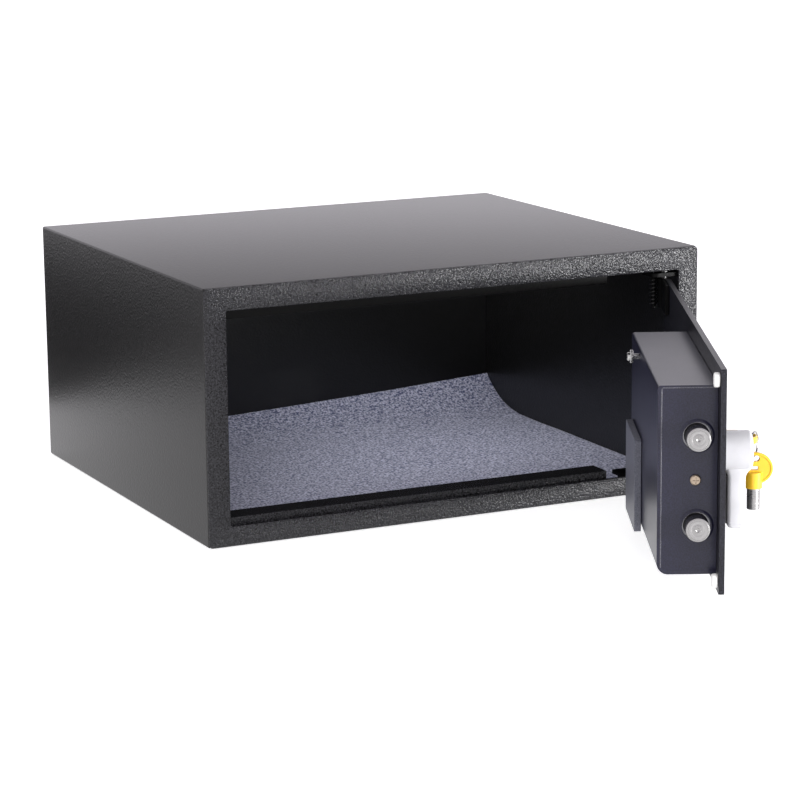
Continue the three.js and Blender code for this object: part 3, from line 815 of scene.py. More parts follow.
# ---- Sub-assemblies --------------------------------------------------------------------------
@dataclass
class Cabinet:
    """The folded steel body: sleeve, front flange, back, door stops."""

    width: float = 430.0
    depth: float = 370.0
    height: float = 200.0
    sheet: float = 1.5
    opening: tuple[float, float, float, float] = (-197.0, 197.0, 16.0, 182.0)
    fold_radius: float = 1.5
    inner_radius: float = 0.25
    groove: float = 1.5
    sleeve_edge: float = 0.9
    flange_edge: float = 1.3
    flange_corners: tuple[float, float] = (3.0, 1.4)

    def sleeve(self, shop: Workshop) -> None:
        """Roof, floor and sides as one folded sleeve: outer and inner rounded rectangles along Y.

        Args:
            shop: the workshop.
        """
        half, edge = self.width / 2, self.sleeve_edge
        front, back = -self.depth / 2 + self.sheet + self.groove, self.depth / 2
        rows = []
        for wall, gap, at in ((0, edge, front), (0, 0.3 * edge, front + 0.3 * edge), (0, 0, front + edge),
                              (0, 0, back - edge), (0, edge, back),
                              (self.sheet, 0, back), (self.sheet, 0, front)):
            inset = wall + gap
            radius = max(self.fold_radius - inset, self.inner_radius)
            loop = rounded_loop(-half + inset, half - inset, inset, self.height - inset, radius)
            rows.append(across(loop, at))
        piece = make_mesh("cabinet_sleeve", *loft(rows, True, False))
        shop.finish_piece(piece, "cabinet", "cabinet_black",
                          ("roof_panel", "floor_panel", "left_panel", "right_panel"))

    def flange(self, shop: Workshop) -> None:
        """The flat frame round the opening.

        Args:
            shop: the workshop.
        """
        half = self.width / 2
        front = -self.depth / 2
        points, faces = ring_slab((-half, half, 0.0, self.height), self.opening, front, front + self.sheet,
                                  self.flange_edge, self.flange_corners)
        piece = make_mesh("front_flange", points, faces)
        shop.finish_piece(piece, "cabinet", "flange_black", ("front_frame",))

    def build(self, shop: Workshop) -> None:
        """Makes every piece of the cabinet.

        Args:
            shop: the workshop.
        """
        self.sleeve(shop)
        self.flange(shop)
        shop.soften("back_panel", "cabinet", "cabinet_black", 0.3)
        shop.soften("door_stop_lower", "cabinet", "flange_black", 0.5, 3)
        # the upper stop gets the darker, duller copy of the paint: painted shade under the top flange
        shop.soften("door_stop_upper", "cabinet", "shaded_inner_black", 0.5, 3)


@dataclass
class Hinges:
    """Brackets, knuckles, pins and the door spring."""

    spring_x: float = 182.8
    spring_y: float = -169.8
    coil_radius: float = 3.2
    wire: float = 0.58
    turns: float = 7.0
    spring_low: float = 152.2
    spring_high: float = 174.2
    points_per_turn: int = 24
    pin_radius: float = 2.5
    pin_round: float = 0.4
    head_radius: float = 3.4
    head_height: float = 2.4
    pins_and_heads: tuple[tuple[str, float, float, float], ...] = (
        ("hinge_pin_lower", 12.0, 41.0, 11.0), ("hinge_pin_upper", 155.0, 182.3, 179.9))

    def spring(self, shop: Workshop) -> None:
        """A helix x = R cos t, y = R sin t, z rising evenly, as a round wire.

        Args:
            shop: the workshop.
        """
        turn = np.linspace(0.0, self.turns * 2 * np.pi, int(self.turns) * self.points_per_turn + 1)
        path = np.stack([self.spring_x + self.coil_radius * np.cos(turn),
                         self.spring_y + self.coil_radius * np.sin(turn),
                         np.linspace(self.spring_low, self.spring_high, len(turn))], axis=-1)
        points, faces = tube_along(path, self.wire, np.array([0.0, 0.0, 1.0]), False)
        piece = make_mesh("door_spring_coil", points, faces)
        shop.finish_piece(piece, "cabinet", "dark_steel", ("door_spring",))

    def upright(self, shop: Workshop, name: str, profile: list[list[float]]) -> bpy.types.Object:
        """Turns a profile of (radius, height) about the hinge axis.

        Args:
            shop: the workshop.
            name: its name.
            profile: pairs of radius and height.
        Returns:
            The new object.
        """
        points, faces, uv = turned(np.array(profile, float), 32)
        points = points[:, [1, 2, 0]] + np.array([shop.door.pivot_x, shop.door.pivot_y, 0.0])
        return make_mesh(name, points, faces, uv)

    def pins(self, shop: Workshop) -> None:
        """Hinge pins with rounded ends, and a low domed head above each.

        Args:
            shop: the workshop.
        """
        wide, bend, cap = self.pin_radius, self.pin_round, self.head_radius
        for name, low, high, head in self.pins_and_heads:
            top = head + self.head_height
            shank = [[0, low], [wide - bend, low], [wide, low + bend], [wide, high - bend],
                     [wide - bend, high], [0, high]]
            button = [[0, head], [cap - 0.5, head], [cap, head + 0.5], [cap, top - 0.6], [cap - 0.6, top],
                      [0, top]]
            piece = self.upright(shop, name + "_turned", shank)
            shop.finish_piece(piece, "cabinet", "dark_steel", (name,))
            piece = self.upright(shop, name + "_head", button)
            shop.finish_piece(piece, "cabinet", "dark_steel")

    def build(self, shop: Workshop) -> None:
        """Makes every hinge piece.

        Args:
            shop: the workshop.
        """
        for node in ("hinge_bracket_lower", "hinge_bracket_upper"):
            # brackets and knuckles get the darker, duller copy of the paint: painted shade behind the flange
            shop.soften(node, "cabinet", "shaded_inner_black", 0.5)
        for node in ("hinge_knuckle_lower", "hinge_knuckle_upper"):
            shop.soften(node, "door", "shaded_inner_black", 0.3)
        self.spring(shop)
        self.pins(shop)


@dataclass
class FloorMat:
    """The felt mat whose back edge curls up the back wall."""

    left: float = -213.0
    right: float = 213.0
    front: float = -155.0
    back: float = 183.0
    rest: float = 1.85
    felt: float = 2.3
    curl_start: float = 88.0
    curl_power: float = 3.4
    edge_x: tuple[float, ...] = (-215.0, -28.0, 112.0, 213.0)
    edge_height: tuple[float, ...] = (9.0, 18.0, 25.0, 31.6)
    ripple: float = 0.35
    fuzz: float = 0.12
    thin_edge: float = 0.75
    edge_width: float = 3.0
    crowding: float = 1.3
    grid: int = 90

    def surface(self, x: np.ndarray, y: np.ndarray) -> np.ndarray:
        """Height of the mat's underside.

        It is flat, then rises as a power of the distance past the start of the curl to the edge
        height at that x, with a slow ripple of a third of a millimetre.

        Args:
            x, y: positions in millimetres.
        Returns:
            Heights in millimetres.
        """
        top = np.interp(x, self.edge_x, self.edge_height) - self.felt
        past = np.clip((y - self.curl_start) / (self.back - self.curl_start), 0.0, 1.0)
        ripple = self.ripple * (1 + np.sin(x / 31.0 + y / 53.0) * np.cos(y / 37.0)) / 2
        return self.rest + ripple + (top - self.rest) * past**self.curl_power

    def build(self, shop: Workshop) -> None:
        """Makes the mat as a closed sheet: top grid, bottom grid and a soft edge.

        Args:
            shop: the workshop.
        """
        columns, rows = self.grid, self.grid
        v = np.linspace(0.0, 1.0, rows)
        u = np.linspace(0.0, 1.0, columns)
        wide, deep = self.right - self.left, self.back - self.front
        x, y = np.meshgrid(self.left + wide * u, self.front + deep * (1 - (1 - v) ** self.crowding),
                           indexing="ij")
        low = self.surface(x, y)
        step = 0.5
        slope = (self.surface(x, y + step) - self.surface(x, y - step)) / (2 * step)
        normal = np.stack([np.zeros_like(slope), -slope, np.ones_like(slope)], axis=-1)
        normal /= np.linalg.norm(normal, axis=-1, keepdims=True)
        bottom = np.stack([x, y, low], axis=-1)
        border = np.minimum(np.minimum(u, 1 - u)[:, None] * wide, np.minimum(v, 1 - v)[None, :] * deep)
        full = np.clip(border / self.edge_width, 0.0, 1.0)
        thick = self.felt * (self.thin_edge + (1 - self.thin_edge) * full)
        fuzz = self.fuzz * np.sin(x * 1.7 + 3 * np.sin(y * 0.9)) * np.cos(y * 1.3)
        top = bottom + normal * (thick + fuzz)[..., None]
        top[..., 1] = np.minimum(top[..., 1], self.back)
        count = rows * columns
        r, c = np.meshgrid(np.arange(columns - 1), np.arange(rows - 1), indexing="ij")
        base = r * rows + c
        quad = np.stack([base, base + rows, base + rows + 1, base + 1], axis=-1).reshape(-1, 4)
        faces = (quad + count).tolist() + quad[:, ::-1].tolist()
        rim = np.concatenate([np.arange(columns) * rows, (columns - 1) * rows + np.arange(1, rows),
                              np.arange(columns - 2, -1, -1) * rows + rows - 1, np.arange(rows - 2, 0, -1)])
        after = np.roll(rim, -1)
        faces += np.stack([rim, after, after + count, rim + count], axis=-1).tolist()
        piece = make_mesh("felt_mat", np.concatenate([bottom.reshape(-1, 3), top.reshape(-1, 3)]), faces)
        shop.finish_piece(piece, "cabinet", "felt", ("floor_mat",))


@dataclass
class Door:
    """The door plate and its two bump pads."""

    pad_u: tuple[float, float] = (376.0, 381.8)
    pad_height: float = 10.5
    pad_thickness: float = 4.5
    pad_front: float = 0.7
    pad_corner: float = 2.85
    pad_edge: float = 1.4
    pad_lows: tuple[float, float] = (21.4, 162.7)

    def build(self, shop: Workshop) -> None:
        """Makes the plate and pads.

        Args:
            shop: the workshop.
        """
        shop.soften("door_plate", "door", "door_black", 0.7, 3)
        for name, low in zip(("bumper_lower", "bumper_upper"), self.pad_lows):
            points, faces = rounded_slab(*self.pad_u, low, low + self.pad_height,
                                         self.pad_front - self.pad_thickness, self.pad_front, self.pad_corner,
                                         self.pad_edge)
            piece = make_mesh(name + "_pad", shop.on_door(points), faces)
            shop.finish_piece(piece, "door", "white_rubber", (name,))


@dataclass
class LockCase:
    """The steel box behind the door: case, end ridge, screws, battery cover."""

    near: float = 369.5
    back: float = -40.6
    bottom: float = 29.0
    top: float = 162.5
    ridge_inset: float = 2.6
    ridge_drop: float = 1.6
    ridge_radius: float = 0.5
    ridge_bend: float = 1.6
    ridge_sunk: float = 0.15
    knurl: tuple[int, float] = (24, 0.14)
    thumb_u: float = 234.0
    thumb_z: float = 156.5

    def end_ridge(self, shop: Workshop) -> None:
        """The fold line on the case's end: a half-sunk round ridge along the top and down the back, in a grey
        lighter than the case paint, a painted highlight along the fold on top of the light its round shape
        catches.

        The path is two straight runs joined by a quarter circle of the turn radius.

        Args:
            shop: the workshop.
        """
        turn = np.linspace(np.pi / 2, np.pi, 7)
        y_back, z_top, bend = self.back + self.ridge_inset, self.top - self.ridge_drop, self.ridge_bend
        corner = np.stack([y_back + bend + bend * np.cos(turn), z_top - bend + bend * np.sin(turn)], axis=-1)
        over = np.stack([np.linspace(-1.0, y_back + bend + 0.6, 24), np.full(24, z_top)], axis=-1)
        fall = np.linspace(z_top - bend - 0.6, self.bottom + 5.0, 40)
        down = np.stack([np.full(40, y_back), fall], axis=-1)
        path = np.concatenate([over, corner, down])
        path = np.concatenate([np.full((len(path), 1), self.near - self.ridge_sunk), path], axis=1)
        points, faces = tube_along(path, self.ridge_radius, np.array([1.0, 0.0, 0.0]), False)
        piece = make_mesh("case_end_ridge", shop.on_door(points), faces)
        shop.finish_piece(piece, "door", "ridge_highlight_grey")

    def thumb_screw(self, shop: Workshop) -> None:
        """The knurled screw on the back, turned about the door's inward normal.

        Args:
            shop: the workshop.
        """
        profile = np.array([[0, 9.6], [2.0, 9.6], [2.8, 9.2], [3.1, 8.6], [3.1, 7.4], [4.5, 7.2], [4.85, 6.8],
                            [4.85, 5.4], [4.5, 4.9], [2.2, 4.6], [2.0, 4.2], [2.0, -5.0], [0, -5.0]])
        points, faces, uv = turned(profile, 72, self.knurl)
        placed = np.stack([self.thumb_u + points[:, 1], self.back - points[:, 0],
                           self.thumb_z + points[:, 2]], axis=-1)
        piece = make_mesh("thumb_screw_turned", shop.on_door(placed), faces, uv)
        shop.finish_piece(piece, "thumb_screw_body", "small_steel", ("thumb_screw",))

    def build(self, shop: Workshop) -> None:
        """Makes every piece of the case.

        Args:
            shop: the workshop.
        """
        shop.soften("lock_case", "door", "case_black", 0.6, 3)
        self.end_ridge(shop)
        self.thumb_screw(shop)
        shop.soften("battery_cover", "battery_lid", "cover_black", 0.7, 3)
        shop.soften("guide_screw", "door", "yellow_zinc", 0.2)


@dataclass
class BoltWork:
    """The two round bolts and the carriage behind them."""

    radius: float = 8.6
    tip: float = 381.9
    root: float = 344.8
    axis_y: float = -13.5
    middle_z: float = 95.2
    rise: float = 31.75

    def build(self, shop: Workshop) -> None:
        """Makes the bolts: a cylinder, a chamfer and a face with turned rings and a centre dimple.

        Args:
            shop: the workshop.
        """
        face = [[7.4, 0.0], [6.9, -0.14], [6.4, 0.0], [4.6, -0.05], [4.2, -0.18], [3.8, -0.05], [1.6, -0.1],
                [1.1, -0.55], [0, -0.8]]
        profile = np.array([[0, self.root], [self.radius, self.root], [self.radius, self.tip - 1.0],
                            [self.radius - 0.35, self.tip - 0.3]]
                           + [[r, self.tip + d] for r, d in face])
        for name, side in (("bolt_lower", -1), ("bolt_upper", 1)):
            points, faces, uv = turned(profile, 64)
            points = points + np.array([0.0, self.axis_y, self.middle_z + side * self.rise])
            piece = make_mesh(name + "_turned", shop.on_door(points), faces, uv)
            shop.finish_piece(piece, "bolt_work", "bolt_steel", (name,))


@dataclass
class Handle:
    """The lever handle: hub, lever, black insert."""

    u: float = 285.0
    hub_radius: float = 14.65
    hub_back: float = 14.0
    hub_front: float = 35.3
    lever_half: float = 8.9
    lever_corner: float = 2.6
    end_inset: float = 2.2
    flare: float = 3.6
    hub_edge: float = 3.0
    insert_half: float = 6.2
    insert_z: tuple[float, float] = (44.0, 80.5)
    insert_y: tuple[float, float] = (16.8, 18.2)
    lever_back: float = 17.6
    lever_front: float = 30.4

    def hub(self, shop: Workshop) -> None:
        """The hub: a circle of the radius swept out of the door with a quarter-round front edge.

        Args:
            shop: the workshop.
        """
        turn = np.linspace(0.0, np.pi / 2, 8)
        edge = self.hub_edge
        fillet = np.stack([self.hub_radius - edge + edge * np.cos(turn),
                           self.hub_front - edge + edge * np.sin(turn)], axis=-1)
        profile = np.concatenate([[[0, self.hub_back], [self.hub_radius - 0.4, self.hub_back],
                                   [self.hub_radius, self.hub_back + 0.4]], fillet, [[0, self.hub_front]]])
        points, faces, uv = turned(profile, 72)
        placed = np.stack([self.u + points[:, 1], points[:, 0], AXIS_HEIGHT - points[:, 2]], axis=-1)
        piece = make_mesh("handle_hub", shop.on_door(placed), faces, uv)
        shop.finish_piece(piece, "handle", "pearl_paint", ("door_handle",))

    def lever(self, shop: Workshop) -> None:
        """The lever: a rounded rectangle carried downwards.

        It is drawn in over the last millimetres by a quarter round and flares where it meets
        the hub.

        Args:
            shop: the workshop.
        """
        fall = np.concatenate([[AXIS_HEIGHT - 10.5, 85.0, 84.2, 83.0, 81.0, 79.0], np.linspace(76.0, 45.5, 8),
                               [44.6, 44.2, 43.6, 43.0, 42.4, 41.9, 41.6, 41.5]])
        end = np.clip((44.2 - fall) / 2.7, 0.0, 1.0)
        inset = self.end_inset * (1 - np.sqrt(np.clip(1 - end**2, 0.0, 1.0)))
        inset = np.where(np.abs(fall - 44.6) < 0.05, 0.25, inset)
        flare = np.clip((fall - 79.0) / 6.0, 0.0, 1.0) ** 1.5 * self.flare
        rows = []
        for z, gap, wider in zip(fall, inset, flare):
            loop = rounded_loop(-self.lever_half + gap, self.lever_half - gap,
                                self.lever_back - 0.4 * wider + gap, self.lever_front + wider - gap,
                                self.lever_corner - 0.6 * gap / self.end_inset)
            rows.append(np.stack([self.u + loop[:, 0], loop[:, 1], np.full(len(loop), z)], axis=-1))
        points, faces = loft(rows, False, True)
        piece = make_mesh("handle_lever", shop.on_door(points), faces)
        shop.finish_piece(piece, "handle", "pearl_paint")

    def build(self, shop: Workshop) -> None:
        """Makes every piece of the handle.

        Args:
            shop: the workshop.
        """
        self.hub(shop)
        self.lever(shop)
        points, faces = rounded_slab(self.u - self.insert_half, self.u + self.insert_half, *self.insert_z,
                                     *self.insert_y, 2.4, 0.4)
        piece = make_mesh("lever_insert_pad", shop.on_door(points), faces)
        shop.finish_piece(piece, "handle", "black_plastic", ("lever_insert",))


@dataclass
class Keys:
    """The lock cylinder, the key in it, the ring and the spare key."""

    u: float = 246.0
    tip_y: float = 44.6
    bow_length: float = 26.6
    bow_half: float = 14.0
    bow_height: float = 12.0
    stem_length: float = 15.8
    stem_radius: float = 4.8
    stem_bore: float = 3.4
    stem_gap: float = 0.3
    ring_gap: float = 1.0
    ring_radius: float = 9.3
    ring_wire: float = 0.7
    ring_reach: float = 6.8
    ring_drop: float = 6.0
    ring_turn_deg: float = 155.0
    slot_rim: float = 4.5

    def ring_centre(self) -> np.ndarray:
        """Centre of the ring in the door frame.

        Returns:
            Array of u, y, z.
        """
        turn = math.radians(self.ring_turn_deg)
        return np.array([self.u + self.ring_reach * math.cos(turn),
                         self.tip_y - self.slot_rim + self.ring_reach * math.sin(turn),
                         AXIS_HEIGHT - self.ring_drop])

    def stem(self) -> MappedSurface:
        """A tubular stem, open at y = 0: outer wall, rounded lip, bore.

        Returns:
            (points, faces, uv) as x across, y along, z thick.
        """
        length, wide, bore = self.stem_length, self.stem_radius, self.stem_bore
        profile = np.array([[0, length], [wide, length], [wide, 0.5], [wide - 0.4, 0.0], [bore + 0.2, 0.0],
                            [bore, 0.3], [bore, length - 3], [0, length - 3]])
        points, faces, uv = turned(profile, 40)
        return np.stack([points[:, 1], points[:, 0], -points[:, 2]], axis=-1), faces, uv

    def bow_rim(self) -> Surface:
        """The raised rim of a bow: ellipses of ten sizes and levels, joined in a closed ring.

        Returns:
            (points, faces) as x across, y along, z thick.
        """
        centre = self.bow_length - self.bow_height
        rows = []
        for shrink, level in ((0.4, 2.1), (0.0, 1.6), (0.0, -1.6), (0.4, -2.1), (0.7, -2.45), (1.5, -2.45),
                              (1.9, -2.0), (1.9, 2.0), (1.5, 2.45), (0.7, 2.45)):
            loop = ellipse_loop(self.bow_half - shrink, self.bow_height - shrink, centre)
            rows.append(np.stack([loop[:, 0], loop[:, 1], np.full(len(loop), level)], axis=-1))
        return loft(rows, True, False)

    def stand_spare(self, points: np.ndarray) -> np.ndarray:
        """Key points (x across, y along, z thick) to the hanging spare key in the door frame.

        Args:
            points: array (n, 3).
        Returns:
            Array in the door frame.
        """
        centre = self.ring_centre()
        low = centre[2] - self.ring_radius - (self.ring_gap - self.slot_rim + self.bow_length)
        return np.stack([centre[0] + points[:, 2], centre[1] + points[:, 0], low + points[:, 1]], axis=-1)

    def stand_inserted(self, points: np.ndarray) -> np.ndarray:
        """Key points to the key in the lock in the door frame."""
        start = self.tip_y - self.bow_length
        return np.stack([self.u + points[:, 0], start + points[:, 1], AXIS_HEIGHT + points[:, 2]], axis=-1)

    def build(self, shop: Workshop) -> None:
        """Makes the ring, stems, rims and the softened bows.

        Args:
            shop: the workshop.
        """
        turn = np.linspace(0.0, 2 * np.pi, 96, endpoint=False)
        facing = math.radians(self.ring_turn_deg)
        centre = self.ring_centre()
        path = np.stack([centre[0] + self.ring_radius * np.cos(turn) * math.cos(facing),
                         centre[1] + self.ring_radius * np.cos(turn) * math.sin(facing),
                         centre[2] + self.ring_radius * np.sin(turn)], axis=-1)
        side = np.array([math.sin(facing), -math.cos(facing), 0.0])
        points, faces = tube_along(path, self.ring_wire, side, True)
        piece = make_mesh("key_ring_wire", shop.on_door(points), faces)
        shop.finish_piece(piece, "ring", "small_steel", ("key_ring",))
        shift = np.array([0.0, -self.stem_length - self.stem_gap, 0.0])
        for label, body, stand in (("", "lock_and_key", self.stand_inserted),
                                   ("spare_", "spare_key", self.stand_spare)):
            points, faces, uv = self.stem()
            piece = make_mesh(label + "key_stem_tube", shop.on_door(stand(points + shift)), faces, uv)
            shop.finish_piece(piece, body, "bolt_steel", (label + "key_stem",))
            points, faces = self.bow_rim()
            piece = make_mesh(label + "key_bow_rim", shop.on_door(stand(points)), faces)
            shop.finish_piece(piece, body, "yellow_plastic")
            shop.soften(label + "key_bow", body, "yellow_plastic", 0.5)
        shop.soften("lock_cylinder", "door", "small_steel", 0.3)
        shop.dress_node("lock_core", "small_steel")


@dataclass
class Legend:
    """One key cap and the sign on it."""

    node: str
    sign: str
    u: float
    z: float


@dataclass
class FrontPanel:
    """The plastic panel on the outside of the door with its display, lamps and key caps."""

    front: float = 13.5
    cap_front: float = 14.7
    first_u: float = 181.0
    first_z: float = 108.0
    pitch_u: float = 16.0
    pitch_z: float = 14.0
    sign_size: float = 7.0
    sign_rise: float = 0.12
    lamp_z: float = 127.0
    lamp_radius: float = 1.6
    lamps_u: tuple[tuple[str, float], ...] = (("lamp_red", 208.0), ("lamp_green", 216.0))
    signs: tuple[str, ...] = ("1", "2", "3", "4", "5", "6", "7", "8", "9", "C", "0", "#")
    nodes: tuple[str, ...] = ("1", "2", "3", "4", "5", "6", "7", "8", "9", "clear", "0", "lock")

    def legends(self) -> list[Legend]:
        """The caps in reading order, left to right as seen from outside.

        Returns:
            One Legend for each cap.
        """
        return [Legend(node, sign, self.first_u - (i % 3) * self.pitch_u,
                       self.first_z - (i // 3) * self.pitch_z)
                for i, (node, sign) in enumerate(zip(self.nodes, self.signs))]

    def sign(self, shop: Workshop, legend: Legend) -> None:
        """One printed sign: flat text made a mesh a fraction of a millimetre proud of its cap.

        Args:
            shop: the workshop.
            legend: the cap and its sign.
        """
        curve = bpy.data.curves.new("sign", "FONT")
        curve.body = legend.sign
        curve.size = self.sign_size
        curve.align_x = "CENTER"
        curve.align_y = "CENTER"
        curve.extrude = self.sign_rise
        text = bpy.data.objects.new("sign", curve)
        bpy.context.scene.collection.objects.link(text)
        bpy.context.view_layer.update()
        mesh = bpy.data.meshes.new_from_object(text)
        bpy.data.objects.remove(text)
        flat = np.zeros(len(mesh.vertices) * 3)
        mesh.vertices.foreach_get("co", flat)
        flat = flat.reshape(-1, 3)
        placed = np.stack([legend.u - flat[:, 0], self.cap_front + flat[:, 2], legend.z + flat[:, 1]],
                          axis=-1)
        mesh.vertices.foreach_set("co", (shop.on_door(placed) * MM).ravel())
        mesh.update()
        piece = bpy.data.objects.new("sign_" + legend.node, mesh)
        bpy.context.scene.collection.objects.link(piece)
        shop.finish_piece(piece, "button_" + legend.node, "legend_white")

    def lamps(self, shop: Workshop) -> None:
        """Two small domed lamps beside the display: x = r cos t with a flat base.

        Args:
            shop: the workshop.
        """
        turn = np.linspace(0.0, np.pi / 2, 6)
        dome = np.stack([self.lamp_radius * np.sin(turn), 0.9 * np.cos(turn)], axis=-1)
        profile = np.concatenate([dome, [[self.lamp_radius, -0.4], [0.0, -0.4]]])
        for name, u in self.lamps_u:
            points, faces, uv = turned(profile, 24)
            placed = np.stack([u + points[:, 1], self.front + points[:, 0], self.lamp_z - points[:, 2]],
                              axis=-1)
            piece = make_mesh(name, shop.on_door(placed), faces, uv)
            shop.finish_piece(piece, "door", name)

    def build(self, shop: Workshop) -> None:
        """Makes every piece of the panel.

        Args:
            shop: the workshop.
        """
        shop.soften("front_panel", "door", "black_plastic", 0.8, 3)
        shop.soften("display_window", "door", "smoked_glass", 0.2)
        for legend in self.legends():
            shop.soften("key_" + legend.node, "button_" + legend.node, "key_grey", 0.6, 3)
            self.sign(shop, legend)
        self.lamps(shop)


@dataclass
class Inside:
    """Parts closed in behind the lock case, which keep their CAD shape."""

    finishes: tuple[tuple[str, str], ...] = (
        ("circuit_board", "board_green"), ("battery_box", "black_plastic"), ("battery_1", "battery_wrap"),
        ("battery_2", "battery_wrap"), ("battery_3", "battery_wrap"), ("battery_4", "battery_wrap"),
        ("bolt_carriage", "zinc"), ("bolt_guide", "zinc"), ("solenoid_body", "zinc"),
        ("solenoid_plunger", "small_steel"), ("handle_spindle", "zinc"), ("handle_crank", "zinc"))

    def build(self, shop: Workshop) -> None:
        """Dresses the CAD nodes."""
        for node, finish in self.finishes:
            shop.dress_node(node, finish)


# ---- Studio ----------------------------------------------------------------------------------
def stand(name: str, data: bpy.types.ID, axes: tuple, place: tuple[float, float, float]) -> bpy.types.Object:
    """Puts a camera or light in the scene with the given right, up and back axes.

    Args:
        name: its name.
        data: the camera or light data.
        axes: its right, up and back axes.
        place: where it stands, in metres.
    Returns:
        The new object.
    """
    thing = bpy.data.objects.new(name, data)
    turn = np.eye(4)
    turn[:3, 0], turn[:3, 1], turn[:3, 2] = axes
    turn[:3, 3] = place
    thing.matrix_world = Matrix(turn.tolist())
    bpy.context.scene.collection.objects.link(thing)
    return thing


@dataclass(frozen=True)
class Lamp:
    """A soft rectangular light facing a target; mirrored lamps show in reflections."""

    name: str
    place: tuple[float, float, float]
    target: tuple[float, float, float]
    size: tuple[float, float]
    power: float
    mirrored: bool

    def build(self) -> None:
        """Makes the light, hidden from the camera."""
        data = bpy.data.lights.new(self.name, "AREA")
        data.shape = "RECTANGLE"
        data.size, data.size_y = self.size
        data.energy = self.power
        back = np.array(self.place, float) - np.array(self.target, float)
        back /= np.linalg.norm(back)
        right = np.cross([0.0, 1.0, 0.0] if abs(back[2]) > 0.9 else [0.0, 0.0, 1.0], back)
        right /= np.linalg.norm(right)
        lamp = stand(self.name, data, (right, np.cross(back, right), back), self.place)
        lamp.visible_camera = False
        lamp.visible_glossy = self.mirrored


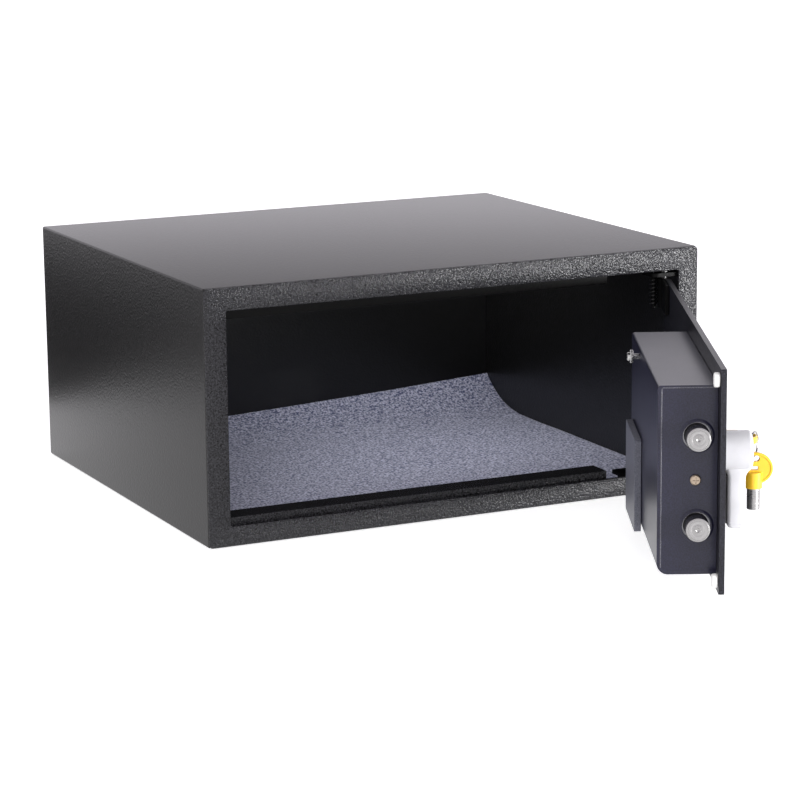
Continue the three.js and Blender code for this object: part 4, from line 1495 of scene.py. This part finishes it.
@dataclass
class Studio:
    """Floor, lights, world and camera."""

    position: tuple[float, float, float] = (-0.9916, -2.1376, 0.5555)
    azimuth_deg: float = -25.656
    elevation_deg: float = 11.879
    roll_deg: float = -0.603
    lens: float = 128.44
    sensor: float = 36.0
    wall_color: tuple[float, ...] = (1.13, 1.09, 1.16, 1.0)
    ceiling_color: tuple[float, ...] = (0.06, 0.06, 0.065, 1.0)
    wall_top: float = 0.68
    ceiling_from: float = 0.86
    floor_half: float = 12.0
    floor_grey: float = 0.88
    floor_glow: float = 0.62
    card_grey: float = 0.02
    cards: tuple[tuple[str, float, float, float, float], ...] = (
        ("left_card", -3.0, -0.25, 0.36, 3.0), ("right_card", 0.3, 3.0, -0.14, 2.0))
    lamps: tuple[Lamp, ...] = (
        Lamp("key_light", (-1.2, -2.6, 2.0), (0.0, -0.1, 0.1), (1.6, 1.2), 30.0, False),
        Lamp("right_light", (0.98, -1.45, 0.1), (0.2, -0.19, 0.13), (0.5, 0.18), 34.0, True),
        Lamp("inside_light", (0.08, 0.06, 0.176), (0.08, 0.08, 0.0), (0.26, 0.2), 0.22, False))

    def camera(self) -> None:
        """The camera: its back axis from azimuth and elevation, then rolled about it."""
        a, e, r = (math.radians(value) for value in (self.azimuth_deg, self.elevation_deg, self.roll_deg))
        back = np.array([math.sin(a) * math.cos(e), -math.cos(a) * math.cos(e), math.sin(e)])
        right = np.cross(-back, [0.0, 0.0, 1.0])
        right /= np.linalg.norm(right)
        up = np.cross(right, -back)
        right, up = math.cos(r) * right + math.sin(r) * up, -math.sin(r) * right + math.cos(r) * up
        data = bpy.data.cameras.new("camera")
        data.lens = self.lens
        data.sensor_width = self.sensor
        data.clip_end = 50.0
        bpy.context.scene.camera = stand("camera", data, (right, up, back), self.position)

    def world(self) -> None:
        """A white wall all round under a dark ceiling; the camera sees pure white."""
        world = bpy.data.worlds.new("world")
        bpy.context.scene.world = world
        world.use_nodes = True
        tree = world.node_tree
        lit = tree.nodes["Background"]
        lit.inputs["Strength"].default_value = 1.0
        rise = tree.nodes.new("ShaderNodeSeparateXYZ")
        tree.links.new(tree.nodes.new("ShaderNodeTexCoord").outputs["Generated"], rise.inputs["Vector"])
        wall = tree.nodes.new("ShaderNodeValToRGB")
        wall.color_ramp.elements[0].position = self.wall_top
        wall.color_ramp.elements[0].color = self.wall_color
        wall.color_ramp.elements[1].position = self.ceiling_from
        wall.color_ramp.elements[1].color = self.ceiling_color
        tree.links.new(rise.outputs["Z"], wall.inputs["Fac"])
        tree.links.new(wall.outputs["Color"], lit.inputs["Color"])
        seen = tree.nodes.new("ShaderNodeBackground")
        seen.inputs["Color"].default_value = (1.0, 1.0, 1.0, 1.0)
        seen.inputs["Strength"].default_value = 1.0
        path = tree.nodes.new("ShaderNodeLightPath")
        mix = tree.nodes.new("ShaderNodeMixShader")
        tree.links.new(path.outputs["Is Camera Ray"], mix.inputs["Fac"])
        tree.links.new(lit.outputs["Background"], mix.inputs[1])
        tree.links.new(seen.outputs["Background"], mix.inputs[2])
        tree.links.new(mix.outputs["Shader"], tree.nodes["World Output"].inputs["Surface"])

    def plane(self, name: str, x0: float, x1: float, y0: float, y1: float, z: float) -> tuple:
        """A level rectangle with its own matt material.

        Args:
            name: its name.
            x0: left end, in metres.
            x1: right end.
            y0: front end.
            y1: back end.
            z: level.
        Returns:
            (object, Principled node).
        """
        mesh = bpy.data.meshes.new(name)
        mesh.from_pydata([(x0, y0, 0), (x1, y0, 0), (x1, y1, 0), (x0, y1, 0)], [], [(0, 1, 2, 3)])
        plane = bpy.data.objects.new(name, mesh)
        plane.location.z = z
        bpy.context.scene.collection.objects.link(plane)
        material = bpy.data.materials.new(name + "_matt")
        material.use_nodes = True
        shader = material.node_tree.nodes["Principled BSDF"]
        shader.inputs["Roughness"].default_value = 0.8
        shader.inputs["Specular IOR Level"].default_value = 0.1
        mesh.materials.append(material)
        return plane, shader

    def floor(self) -> None:
        """A plain pale floor that glows a little, and dark cards at both sides for reflections."""
        half = self.floor_half
        _, shader = self.plane("floor", -half, half, -half, half, -0.0004)
        shader.inputs["Base Color"].default_value = (*[self.floor_grey] * 3, 1.0)
        shader.inputs["Emission Color"].default_value = (1.0, 1.0, 1.0, 1.0)
        shader.inputs["Emission Strength"].default_value = self.floor_glow
        for name, x0, x1, y0, y1 in self.cards:
            card, shader = self.plane(name, x0, x1, y0, y1, 0.001)
            shader.inputs["Base Color"].default_value = (*[self.card_grey] * 3, 1.0)
            card.visible_camera = False
            card.visible_diffuse = False
            card.visible_shadow = False

    def build(self) -> None:
        """Sets up the whole studio."""
        self.floor()
        self.world()
        for lamp in self.lamps:
            lamp.build()
        self.camera()
        bpy.context.scene.view_settings.view_transform = "Standard"


def joint_place(frame: dict, name: str) -> tuple[float, float]:
    """The hinge axis of a joint as (x, y) in millimetres."""
    joint = next(item for item in frame["joints"] if item["name"] == name)
    return joint["pos_m"][0] / MM, joint["pos_m"][1] / MM


def main() -> None:
    """Builds everything in order."""
    logging.basicConfig(level=logging.INFO)
    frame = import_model()
    pivot_x, pivot_y = joint_place(frame, "door_hinge")
    door = DoorFrame(pivot_x, pivot_y, math.pi + math.radians(OPEN_ANGLE_DEG))
    shop = Workshop(frame, Wardrobe(), door)
    for assembly in (Cabinet(), Hinges(), FloorMat(), Door(), LockCase(), BoltWork(), Handle(), Keys(),
                     FrontPanel(), Inside()):
        LOG.info("building %s", type(assembly).__name__)
        assembly.build(shop)
    Studio().build()
    bpy.context.view_layer.update()
    LOG.info("%d pieces", len(shop.made))


if __name__ == "__main__":
    main()
